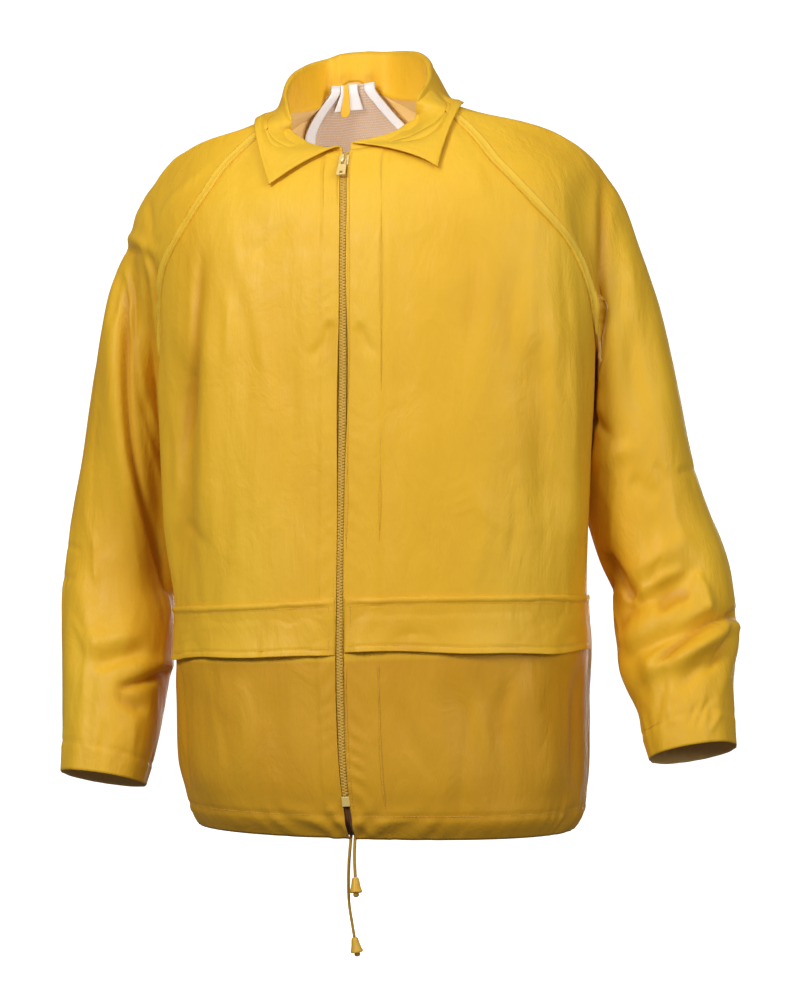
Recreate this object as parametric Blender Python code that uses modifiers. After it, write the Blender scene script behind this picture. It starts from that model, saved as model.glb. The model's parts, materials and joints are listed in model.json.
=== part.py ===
"""Yellow rain jacket, worn shape with no wearer: raglan sleeves, fold-down collar, open-ended zip,
storm flaps at the waist and a drawcord in the hem.

Metres, +Z up. The front faces -Y and the wearer's left is +X. The origin is where the wearer's
shoulders carry the jacket: on the centre line, at the height of the sides of the neck.
Every piece of cloth is an open surface worked out from the sizes below, given its wall by Solidify.
"""

import math

import bmesh
import bpy
import numpy as np
from mathutils import Matrix, Vector
from mathutils.bvhtree import BVHTree

# ---------------------------------------------------------------- driving sizes
# Rows and columns of the pieces' grids. The sleeves take their columns from the panels' rows.
ROWS_BELOW, ROWS_ABOVE = 18, 10
FRONT_COLUMNS, BACK_COLUMNS = 11, 20
SLEEVE_OVER_TOP, SLEEVE_CAP_ROWS, SLEEVE_ARM_ROWS = 8, 9, 14
COLLAR_AROUND = 38
COLLAR_STAND_ROWS = 8  # of the collar's rows, up the stand and over the roll
FLAP_AROUND = 14
LINING_ROWS, LINING_COLUMNS = 12, 16

CLOTH = 0.0012  # wall of the coated cloth
COLLAR_CLOTH = 0.0016  # two layers
SEAM_GAP = 0.0008  # between two sewn pieces
LAY_GAP = 0.0004  # between a piece and the panel that it lies on
SQUARENESS = 2.3  # 2 is an ellipse, more is boxier

HEM_Z = -0.739
UNDERARM_Z = -0.270
FRONT_NECK_Z = -0.047  # zip end of the collar seam
FRONT_SEAM_TOP_Z = -0.012  # front raglan seam meets the collar seam
BACK_SEAM_TOP_Z = 0.040
BACK_NECK_Z = 0.044
SIDE_SEAM_DEG = 98.0  # measured round from the centre front

ZIP_OPENING = 0.0090  # between the two front edges
ZIP_TOP_Z = -0.050
ZIP_END_Z = -0.700
TAPE_WIDTH = 0.0125
TAPE_WALL = 0.0010
TAPE_ROOM = 0.0010  # between the tapes and the fronts over them
CHAIN_WIDTH = 0.0060
CHAIN_WALL = 0.0024

FLAP_TOP_Z = -0.506
FLAP_BOTTOM_Z = -0.561
FLAP_LIFT = 0.0045  # how far its free lower edge stands off the front
FLAP_RISE = 0.007  # the flaps sit this much higher at the zip than at the sides
FLAP_START = 0.0062  # its end, from the zip's line
FLAP_END_DEG = 0.6  # its other end, before the side seam

WELT_WIDTH = 0.0100
WELT_WALL = 0.0010
WELT_IN = 0.0014  # from the seam
WELT_ROOM = 0.0011
WELT_START = {"front": 0.006, "back": 0.095}  # share of the half armhole past the neck, under the collar
WELT_END_Z = {"front": -0.185, "back": -0.140}  # below that it lies in the fold under the arm

LINING_OFF = 0.0035  # the mesh hangs that far inside the back
LINING_WALL = 0.0010
LINING_BOTTOM_Z = -0.235
LINING_TOP_Z = 0.038
LINING_EDGE_DEG = 2.5  # its sides, in from the raglan seams
BINDING_WIDTH = 0.0105
BINDING_ROOM = 0.0018  # between the lining and the binding on it
LABEL_HALF_WIDTH, LABEL_DROP = 0.0145, 0.0200
LOOP_HALF_WIDTH, LOOP_DROP = 0.0058, 0.0260
BACK_NECK_RADIUS = 0.085

CORD_DIAMETER = 0.0032

# Horizontal sections through the body: half width, where the front and back centres and the widest
# point lie along Y, and how far the sides and the zip's line stand along X.
BODY_COLUMNS = ("z", "half", "front", "back", "side", "shift", "zip")
BODY = (
    (-0.739, 0.197, -0.139, 0.133, -0.012, 0.015, 0.011),
    (-0.724, 0.205, -0.150, 0.144, -0.014, 0.016, 0.010),
    (-0.697, 0.210, -0.157, 0.150, -0.016, 0.014, 0.008),
    (-0.600, 0.214, -0.160, 0.153, -0.018, 0.011, 0.003),
    (-0.500, 0.218, -0.159, 0.153, -0.022, 0.012, 0.002),
    (-0.400, 0.224, -0.157, 0.152, -0.030, 0.012, 0.003),
    (-0.300, 0.228, -0.156, 0.152, -0.036, 0.013, 0.004),
    (-0.220, 0.230, -0.155, 0.153, -0.036, 0.012, 0.004),
    (-0.170, 0.232, -0.152, 0.153, -0.030, 0.010, 0.003),
    (-0.120, 0.236, -0.144, 0.151, -0.020, 0.007, 0.002),
    (-0.076, 0.236, -0.128, 0.143, -0.008, 0.002, -0.002),
    (-0.047, 0.222, -0.108, 0.133, 0.000, -0.004, -0.007),
    (-0.010, 0.170, -0.086, 0.112, 0.005, -0.010, -0.010),
    (0.020, 0.108, -0.072, 0.094, 0.008, -0.014, -0.014),
    (0.046, 0.060, -0.062, 0.076, 0.010, -0.016, -0.016),
)

# The raglan seams, from the underarm up to the collar seam: degrees round from the centre front.
SEAM_COLUMNS = ("z", "front", "back")
SEAM = (
    (-0.270, 100.0, 100.0),
    (-0.262, 94.0, 105.0),
    (-0.240, 86.0, 110.0),
    (-0.200, 77.0, 120.0),
    (-0.160, 65.0, 134.0),
    (-0.120, 49.0, 146.5),
    (-0.080, 37.0, 153.5),
    (-0.045, 31.5, 158.5),
    (-0.012, 28.5, 160.0),
    (0.040, 28.5, 163.0),
)

# Rings of each sleeve from the shoulder's point to the cuff: centre, half width, half depth, and the
# turn of the ring about the arm, which lets the sleeve lie along the slanting side of the body.
ARM_COLUMNS = ("x", "y", "z", "side", "depth", "turn")
ARM_LEFT = (
    (0.2245, 0.034, -0.170, 0.0540, 0.078, 27.0),
    (0.2385, 0.036, -0.230, 0.0550, 0.076, 27.0),
    (0.2530, 0.038, -0.300, 0.0560, 0.074, 27.0),
    (0.2675, 0.038, -0.370, 0.0580, 0.070, 22.0),
    (0.2905, 0.034, -0.440, 0.0620, 0.066, 12.0),
    (0.3075, 0.028, -0.480, 0.0610, 0.064, 6.0),
    (0.3140, 0.014, -0.520, 0.0630, 0.061, 0.0),
    (0.3180, -0.004, -0.565, 0.0600, 0.058, 0.0),
    (0.3285, -0.020, -0.605, 0.0500, 0.054, 0.0),
    (0.3350, -0.032, -0.640, 0.0460, 0.051, 0.0),
    (0.3385, -0.036, -0.656, 0.0440, 0.050, 0.0),
)
ARM_RIGHT = (
    (-0.2195, 0.034, -0.150, 0.0540, 0.078, 27.0),
    (-0.2400, 0.036, -0.220, 0.0550, 0.076, 27.0),
    (-0.2580, 0.038, -0.300, 0.0560, 0.074, 27.0),
    (-0.2710, 0.038, -0.370, 0.0580, 0.070, 22.0),
    (-0.2840, 0.036, -0.440, 0.0610, 0.066, 12.0),
    (-0.2905, 0.026, -0.500, 0.0595, 0.063, 4.0),
    (-0.2855, 0.010, -0.550, 0.0610, 0.060, 0.0),
    (-0.2835, -0.010, -0.600, 0.0555, 0.056, 0.0),
    (-0.2830, -0.026, -0.650, 0.0505, 0.052, 0.0),
    (-0.2870, -0.038, -0.696, 0.0440, 0.050, 0.0),
)
BODY_ROOM = 0.0045  # between a sleeve and the body's side
SLEEVE_SLANT = 0.27  # of the rings' length: the underarm joins the rings that much lower than the top

# The collar by its share of the way from the centre back (0) to the zip (1): the height and outward
# lean of the stand, then the place of the leaf's free edge: out from the neck's centre, along Y, and Z.
COLLAR_COLUMNS = ("way", "stand", "lean", "edge_out", "edge_y", "edge_z")
COLLAR = (
    (0.00, 0.035, -0.0020, 0.0000, 0.096, 0.036),
    (0.20, 0.034, -0.0050, 0.0540, 0.080, 0.030),
    (0.40, 0.026, -0.0090, 0.0880, 0.036, 0.014),
    (0.55, 0.015, -0.0060, 0.0950, -0.010, -0.008),
    (0.70, 0.006, -0.0010, 0.0960, -0.048, -0.032),
    (0.85, 0.003, 0.0010, 0.0930, -0.084, -0.056),
    (1.00, 0.002, 0.0010, 0.0863, -0.118, -0.076),
)
COLLAR_ROLL = 0.0040  # radius of its fold
COLLAR_ROOM = 0.0042  # between the leaf and what it lies on
NECK_CENTRE_X = -0.010
SPINE_SHIFT = 0.018  # the back neck hangs that far towards the wearer's right
NECK_TURN_DEG = 8.0  # the neck faces a little towards the wearer's right
NECK_ARC_PULL = 0.118  # how full the neckline's curve is over the shoulder

# The waist flap's section from its sewn top to its free edge: how far its inner face stands off.
FLAP_COLUMNS = ("down", "off")
FLAP_SECTION = (
    (0.00, 0.0004),
    (0.03, 0.0022),
    (0.08, 0.0026),
    (0.13, 0.0010),
    (0.45, 0.0014),
    (0.80, 0.0030),
    (1.00, 0.0048),
)

# The drawcord's two ends: offset along X from the zip's line, Y and Z, from inside the hem down.
CORD_COLUMNS = ("x", "y", "z")
CORD_LONG = (
    (-0.0021, -0.1365, -0.730),
    (-0.0026, -0.1385, -0.741),
    (-0.0040, -0.1395, -0.760),
    (-0.0048, -0.1392, -0.781),
    (-0.0040, -0.1390, -0.805),
    (-0.0010, -0.1390, -0.824),
    (0.0012, -0.1388, -0.8370),
)
CORD_SHORT = (
    (0.0021, -0.1365, -0.730),
    (0.0020, -0.1395, -0.741),
    (0.0026, -0.1440, -0.757),
    (0.0044, -0.1478, -0.7760),
)
CORD_STEP = 0.0062  # between the points of its tube

SLIDER_Z = -0.0600
SLIDER_SIZE = (0.0105, 0.0020, 0.0135)
BRIDGE_SIZE = (0.0024, 0.0012, 0.0088)
BRIDGE_ROOM = 0.0024  # between slider and bridge, for the crossbar of the tab
TAB_AXIS_DOWN = 0.0015  # the tab's hinge lies below the slider's middle
TAB_WALL = 0.0012
TAB_REST_DEG = 3.0
END_BOX_SIZE = (0.0080, 0.0042, 0.0100)

# Heights of the zip's layers above the fronts' outer face.
TAPE_FACE = -CLOTH - TAPE_ROOM
CHAIN_TOP = TAPE_FACE + LAY_GAP + CHAIN_WALL
SLIDER_FOOT = CHAIN_TOP + LAY_GAP
SLIDER_TOP = SLIDER_FOOT + SLIDER_SIZE[1]
TAB_AXIS_OUT = SLIDER_TOP + BRIDGE_ROOM / 2


def column(rows, columns, name):
    return np.array([row[columns.index(name)] for row in rows])


def smooth(at, xs, ys):
    """A curve of cubic pieces through the points (xs, ys), with the slope at each taken from the
    parabola through its neighbours. It stays flat past both ends."""
    at = np.clip(np.asarray(at, float), xs[0], xs[-1])
    step, rise = np.diff(xs), np.diff(ys) / np.diff(xs)
    slope = np.empty(len(xs))
    slope[1:-1] = (rise[:-1] * step[1:] + rise[1:] * step[:-1]) / (step[:-1] + step[1:])
    slope[0], slope[-1] = rise[0], rise[-1]
    i = np.clip(np.searchsorted(xs, at) - 1, 0, len(xs) - 2)
    t = (at - xs[i]) / step[i]
    start = (1 + 2 * t) * (1 - t) ** 2 * ys[i] + t * (1 - t) ** 2 * step[i] * slope[i]
    end = t * t * (3 - 2 * t) * ys[i + 1] - t * t * (1 - t) * step[i] * slope[i + 1]
    return start + end


def ease(t):
    """0 below 0, 1 above 1, and a soft S between."""
    t = np.clip(t, 0, 1)
    return t * t * (3 - 2 * t)


def unit(v):
    return v / np.maximum(np.linalg.norm(v, axis=-1, keepdims=True), 1e-12)


# ---------------------------------------------------------------- the body's surface
BODY_Z = column(BODY, BODY_COLUMNS, "z")


def body_column(z, name):
    return smooth(z, BODY_Z, column(BODY, BODY_COLUMNS, name))


def tilt(x, z):
    """The body hangs a little higher on the wearer's left, from nothing at the hem."""
    amount = smooth(z, np.array([HEM_Z, -0.50, -0.15, 0.05]), np.array([0.0, 0.055, 0.070, 0.095]))
    return amount * 0.16 * np.tanh(x / 0.16)


def turned(x, y, deg):
    """Points turned about the upright line through the neck's centre."""
    c, s = np.cos(np.radians(deg)), np.sin(np.radians(deg))
    away = x - NECK_CENTRE_X
    return NECK_CENTRE_X + away * c - y * s, away * s + y * c


def side_press(y, z):
    """How far the arms press in the body's sides."""
    pressed = 0.034 * np.exp(-(((y - 0.045) / 0.050) ** 2))
    return pressed * ease((z + 0.56) / 0.16) * ease((-0.10 - z) / 0.12)


def body(deg, z):
    """The body's surface: a superellipse at each height, pressed in at the sides where the arms lie.
    deg runs round from the centre front (0) by the wearer's left (90) to the centre back (180)."""
    deg, z = np.broadcast_arrays(np.asarray(deg, float), np.asarray(z, float))
    s, c = np.sin(np.radians(deg)), np.cos(np.radians(deg))
    across = np.sign(s) * np.abs(s) ** (2 / SQUARENESS)
    along = np.abs(c) ** (2 / SQUARENESS)
    side = body_column(z, "side")
    centre = np.where(c >= 0, body_column(z, "front"), body_column(z, "back"))
    y = side + (centre - side) * along
    out = (body_column(z, "half") - side_press(y, z)) * across
    push = body_folds(deg, z)
    middle = body_column(z, "zip") - np.where(c < 0, SPINE_SHIFT * ease((z + 0.20) / 0.20), 0.0)
    x = middle * (1 - np.abs(across)) + body_column(z, "shift") * np.abs(across) + out + push * s
    y = y - push * c
    x, y = turned(x, y, NECK_TURN_DEG * ease((z + 0.075) / 0.09))
    return np.stack([x, y, z + tilt(x, z)], axis=-1)


def body_side(hand, y, z):
    """X of the body's side on one hand (+1 the wearer's left) at a place along Y, folds apart."""
    side = body_column(z, "side")
    centre = np.where(y < side, body_column(z, "front"), body_column(z, "back"))
    along = np.clip((y - side) / (centre - side), 0, 1)
    across = (1 - along**SQUARENESS) ** (1 / SQUARENESS)
    out = (body_column(z, "half") - side_press(y, z)) * across
    return body_column(z, "zip") * (1 - across) + body_column(z, "shift") * across + hand * out


# Folds of the body: where each starts and ends (degrees round, height), and how wide and deep it is.
# A depth above 0 is a ridge and below 0 a trough.
FOLD_COLUMNS = ("deg0", "z0", "deg1", "z1", "width", "depth")
BODY_FOLDS = (
    (-75.0, -0.230, -70.0, -0.480, 0.020, 0.0060),
    (-52.0, -0.250, -56.0, -0.470, 0.026, -0.0090),
    (-38.0, -0.200, -40.0, -0.440, 0.030, 0.0040),
    (66.0, -0.240, 72.0, -0.470, 0.022, 0.0050),
    (50.0, -0.260, 60.0, -0.430, 0.026, -0.0050),
    (22.0, -0.120, 14.0, -0.330, 0.034, -0.0035),
    (-20.0, -0.110, -12.0, -0.300, 0.034, -0.0030),
    (48.0, -0.575, 66.0, -0.700, 0.024, 0.0045),
    (30.0, -0.580, 44.0, -0.710, 0.026, -0.0040),
    (-34.0, -0.580, -46.0, -0.705, 0.026, 0.0040),
    (-60.0, -0.570, -66.0, -0.700, 0.022, -0.0040),
    (84.0, -0.570, 80.0, -0.700, 0.020, -0.0045),
    (-86.0, -0.560, -82.0, -0.700, 0.020, 0.0040),
    (128.0, -0.220, 118.0, -0.600, 0.026, -0.0080),
    (144.0, -0.180, 138.0, -0.560, 0.030, 0.0060),
    (162.0, -0.240, 158.0, -0.660, 0.032, -0.0055),
    (180.0, -0.300, 178.0, -0.700, 0.030, 0.0045),
    (-163.0, -0.220, -160.0, -0.620, 0.032, -0.0060),
    (-146.0, -0.200, -141.0, -0.580, 0.030, 0.0060),
    (-127.0, -0.230, -119.0, -0.610, 0.026, -0.0075),
    (112.0, -0.400, 108.0, -0.690, 0.024, 0.0055),
    (-111.0, -0.420, -107.0, -0.690, 0.024, 0.0050),
)
DEG_TO_M = 0.0033  # of the body's girth to one degree


def soft_line(u, v, u0, v0, u1, v1, width, depth, sharp=1.0):
    """A soft trough or ridge along the line from (u0, v0) to (u1, v1), fading at both ends."""
    du, dv = u1 - u0, v1 - v0
    length = math.hypot(du, dv)
    along = ((u - u0) * du + (v - v0) * dv) / length**2
    off = ((u - u0) * dv - (v - v0) * du) / length
    reach = np.where(off > 0, width * sharp, width)
    fade = ease((along + 0.12) / 0.34) * ease((1.12 - along) / 0.34)
    return depth * np.exp(-((off / reach) ** 2)) * fade


def body_folds(deg, z):
    """How far the folds push the body's surface out, in metres."""
    push = np.zeros(np.broadcast(deg, z).shape)
    for deg0, z0, deg1, z1, width, depth in BODY_FOLDS:
        away = (deg - deg0 + 180.0) % 360.0 - 180.0
        end = (deg1 - deg0) * DEG_TO_M
        push = push + soft_line(away * DEG_TO_M, z, 0.0, z0, end, z1, width, depth)
    return push


def deg_of(offset, z):
    """The angle round the body at a distance along X from its centre line."""
    share = np.abs(offset) / body_column(z, "half")
    return np.sign(offset) * np.degrees(np.arcsin(share ** (SQUARENESS / 2)))


def normal_of(surface, u, v, du, dv):
    """Outward normal of surface(u, v), from its slopes."""
    along_u = surface(u + du, v) - surface(u - du, v)
    along_v = surface(u, v + dv) - surface(u, v - dv)
    return unit(np.cross(along_u, along_v))


def body_normal(deg, z):
    return normal_of(body, deg, z, 0.4, 0.0015)


# ---------------------------------------------------------------- panels of the body
SEAM_Z = column(SEAM, SEAM_COLUMNS, "z")
SEAM_TOP = {"front": FRONT_SEAM_TOP_Z, "back": BACK_SEAM_TOP_Z}


def seam_deg(z, which):
    return smooth(z, SEAM_Z, column(SEAM, SEAM_COLUMNS, which))


def seam_height(rise, which):
    """Height on the raglan seam, for rise from 0 at the underarm to 1 at the collar seam. The rows are
    closer together at the underarm, where the seam curves most."""
    return UNDERARM_Z + (SEAM_TOP[which] - UNDERARM_Z) * rise**1.2


def side_deg(z):
    return SIDE_SEAM_DEG + 2.0 * ease((z + 0.45) / 0.18)


def split_rows(rows_below, rows_above):
    """Row heights as (share of the way from hem to underarm, share of the way on to the neck)."""
    below = [(i / rows_below, 0.0) for i in range(rows_below)]
    above = [(1.0, i / rows_above) for i in range(rows_above + 1)]
    return below + above


def front_row(low, high, f):
    """One row of the front: its heights and its outer edge in degrees, f from the zip (0) to the
    side or raglan seam (1)."""
    f = np.asarray(f, float)
    if high == 0.0:
        z = np.full_like(f, HEM_Z + (UNDERARM_Z - HEM_Z) * low)
        return z, side_deg(z)
    top = seam_height(high, "front")
    neck = FRONT_NECK_Z + (FRONT_SEAM_TOP_Z - FRONT_NECK_Z) * f**1.7
    z = UNDERARM_Z + (neck - UNDERARM_Z) * (top - UNDERARM_Z) / (FRONT_SEAM_TOP_Z - UNDERARM_Z)
    return z, seam_deg(top, "front")


def front_points(side, columns, rows):
    """The front on one side (+1 the wearer's left), as rows from the hem up and columns from the zip."""
    grid = []
    f = np.linspace(0, 1, columns + 1)
    for low, high in rows:
        z, edge = front_row(low, high, f)
        start = deg_of(ZIP_OPENING / 2, z)
        grid.append(body(side * (start + (edge - start) * f), z))
    return np.array(grid)[:, ::side]


def back_points(columns, rows):
    """The back, as rows from the hem up and columns from the wearer's left to the right."""
    grid = []
    g = np.linspace(-1, 1, columns + 1)
    neck = BACK_NECK_Z + (BACK_SEAM_TOP_Z - BACK_NECK_Z) * g**2
    for low, high in rows:
        if high == 0.0:
            z = np.full_like(g, HEM_Z + (UNDERARM_Z - HEM_Z) * low)
            edge = side_deg(z)
        else:
            top = seam_height(high, "back")
            z = UNDERARM_Z + (neck - UNDERARM_Z) * (top - UNDERARM_Z) / (BACK_SEAM_TOP_Z - UNDERARM_Z)
            edge = seam_deg(top, "back")
        grid.append(body(180.0 + g * (180.0 - edge), z))
    return np.array(grid)


# ---------------------------------------------------------------- neckline and armholes
def by_length(points, count):
    """A line of points again, with count points evenly spaced along it."""
    run = np.concatenate([[0], np.cumsum(np.linalg.norm(np.diff(points, axis=0), axis=1))])
    at = np.linspace(0, run[-1], count)
    return np.stack([np.interp(at, run, points[:, k]) for k in range(3)], axis=1)


def hermite(start, start_pull, end, end_pull, t):
    """The cubic from start to end that leaves and arrives with those pulls."""
    t = np.asarray(t, float)[..., None]
    return (
        (1 + 2 * t) * (1 - t) ** 2 * start
        + t * (1 - t) ** 2 * start_pull
        + t * t * (3 - 2 * t) * end
        - t * t * (1 - t) * end_pull
    )


def neck_arc(side, count=41):
    """The collar seam over the top of a sleeve, from the front raglan seam to the back one."""
    fine = split_rows(1, 1)[-1:]
    front = front_points(side, 40, fine)[-1][::side]
    back = back_points(80, fine)[-1][:: -side]
    start, end = front[-1], back[-1]
    start_pull = unit(front[-1] - front[-3]) * NECK_ARC_PULL
    end_pull = unit(back[-3] - back[-1]) * NECK_ARC_PULL
    return hermite(start, start_pull, end, end_pull, np.linspace(0, 1, count))


def neckline(count):
    """The whole collar seam, from the zip on the wearer's right round the back to the zip on the left."""
    fine = split_rows(1, 1)[-1:]
    back = back_points(80, fine)[-1][::-1]
    parts = []
    for side in (-1, 1):
        front = front_points(side, 40, fine)[-1][::side]
        parts.append(np.concatenate([front[:-1], neck_arc(side)]))
    line = np.concatenate([parts[0][:-1], back, parts[1][::-1][1:]])
    return by_length(line, count)


def armhole(side):
    """Both halves of the armhole, each from the middle of the neck arc down to the underarm, as dense
    lines of points with the way the sleeve leaves them. Returns {"front": ..., "back": ...}."""
    arc = neck_arc(side)
    middle = len(arc) // 2
    halves = {}
    for which, top in (("front", arc[middle::-1]), ("back", arc[middle:])):
        rise = np.linspace(1, 0, 121)
        z = seam_height(rise, which)
        deg = side * seam_deg(z, which)
        seam = body(deg, z)
        normal = body_normal(deg, z)
        down = unit(np.gradient(seam, axis=0))
        leave = np.cross(down, normal)
        outward = np.array([side, 0.0, 0.0])
        leave = leave * np.sign((leave * outward).sum(-1, keepdims=True) + 1e-9)
        arm = np.array([0.55 * side, 0.0, -0.83])
        arm = arm - normal * (normal * arm).sum(-1, keepdims=True)
        leave = unit(leave + ARM_LEAD[which] * arm)
        under = ease((0.42 - rise) / 0.42)[:, None]
        leave = unit(leave * (1 - under) + np.array([0.18 * side, 0.05, -1.0]) * under)
        run = unit(np.gradient(top, axis=0))
        flat = unit(np.stack([run[:, 1], -run[:, 0], np.zeros(len(run))], axis=1))
        flat = flat * np.sign((flat * outward).sum(-1, keepdims=True) + 1e-9)
        slope = unit(flat + np.array([0.0, 0.0, -SHOULDER_FALL[side]]))
        points = np.concatenate([top[:-1], seam])
        way = np.concatenate([slope[:-1], leave])
        for _ in range(60):
            way[1:-1] = unit(way[:-2] + 2 * way[1:-1] + way[2:])
        halves[which] = (points, way, len(top) - 1, z)
    return halves


def share_of(points):
    run = np.concatenate([[0], np.cumsum(np.linalg.norm(np.diff(points, axis=0), axis=1))])
    return run / run[-1]


# ---------------------------------------------------------------- sleeves
ARM_LEAD = {"front": 0.30, "back": 1.20}  # how much the sleeve leaves its seam down along the arm
SHOULDER_FALL = {1: 0.34, -1: 0.50}  # the shoulder drops that much a metre, next to the neck
SHOULDER_PULL = {1: 0.75, -1: 0.28}  # how far it runs on before it turns down into the arm
CAP_SHARE = 0.40  # of the way down the sleeve, where the shoulder ends and the arm's rings begin
ARMS = {1: ARM_LEFT, -1: ARM_RIGHT}

# Folds of the sleeves, where they show from the front: across (X, from the body's centre) and height,
# and how much narrower the fold's far side is than its width.
ARM_FOLD_COLUMNS = ("x0", "z0", "x1", "z1", "width", "depth", "sharp")
ARM_FOLDS = {
    1: (
        (0.236, -0.070, 0.240, -0.240, 0.014, -0.0070, 1.0),
        (0.262, -0.110, 0.286, -0.330, 0.017, -0.0070, 1.0),
        (0.284, -0.150, 0.322, -0.400, 0.016, 0.0045, 1.0),
        (0.262, -0.515, 0.345, -0.470, 0.012, -0.0080, 1.0),
        (0.262, -0.485, 0.330, -0.440, 0.012, 0.0045, 1.0),
        (0.270, -0.560, 0.372, -0.512, 0.010, -0.0080, 0.7),
        (0.276, -0.578, 0.378, -0.534, 0.011, 0.0065, 1.0),
        (0.330, -0.590, 0.380, -0.530, 0.009, -0.0050, 0.8),
        (0.252, -0.545, 0.285, -0.580, 0.012, -0.0040, 1.0),
    ),
    -1: (
        (-0.268, -0.120, -0.228, -0.330, 0.013, -0.0090, 1.0),
        (-0.228, -0.330, -0.232, -0.500, 0.014, -0.0100, 1.0),
        (-0.282, -0.160, -0.256, -0.440, 0.018, 0.0055, 1.0),
        (-0.290, -0.575, -0.240, -0.560, 0.012, -0.0070, 0.6),
        (-0.300, -0.555, -0.242, -0.542, 0.013, 0.0040, 1.0),
        (-0.332, -0.480, -0.318, -0.600, 0.014, 0.0030, 1.0),
    ),
}
ARM_BACK_FOLDS = {
    1: (
        (0.230, -0.090, 0.262, -0.300, 0.018, -0.0065, 1.0),
        (0.290, -0.150, 0.320, -0.380, 0.018, -0.0050, 1.0),
        (0.262, -0.480, 0.350, -0.455, 0.013, -0.0060, 1.0),
        (0.268, -0.530, 0.360, -0.500, 0.014, 0.0050, 1.0),
        (0.276, -0.560, 0.372, -0.560, 0.012, -0.0050, 1.0),
    ),
    -1: (
        (-0.226, -0.100, -0.250, -0.310, 0.018, -0.0065, 1.0),
        (-0.284, -0.150, -0.300, -0.380, 0.018, -0.0050, 1.0),
        (-0.340, -0.500, -0.250, -0.470, 0.013, -0.0060, 1.0),
        (-0.340, -0.545, -0.250, -0.530, 0.014, 0.0045, 1.0),
    ),
}


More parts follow.
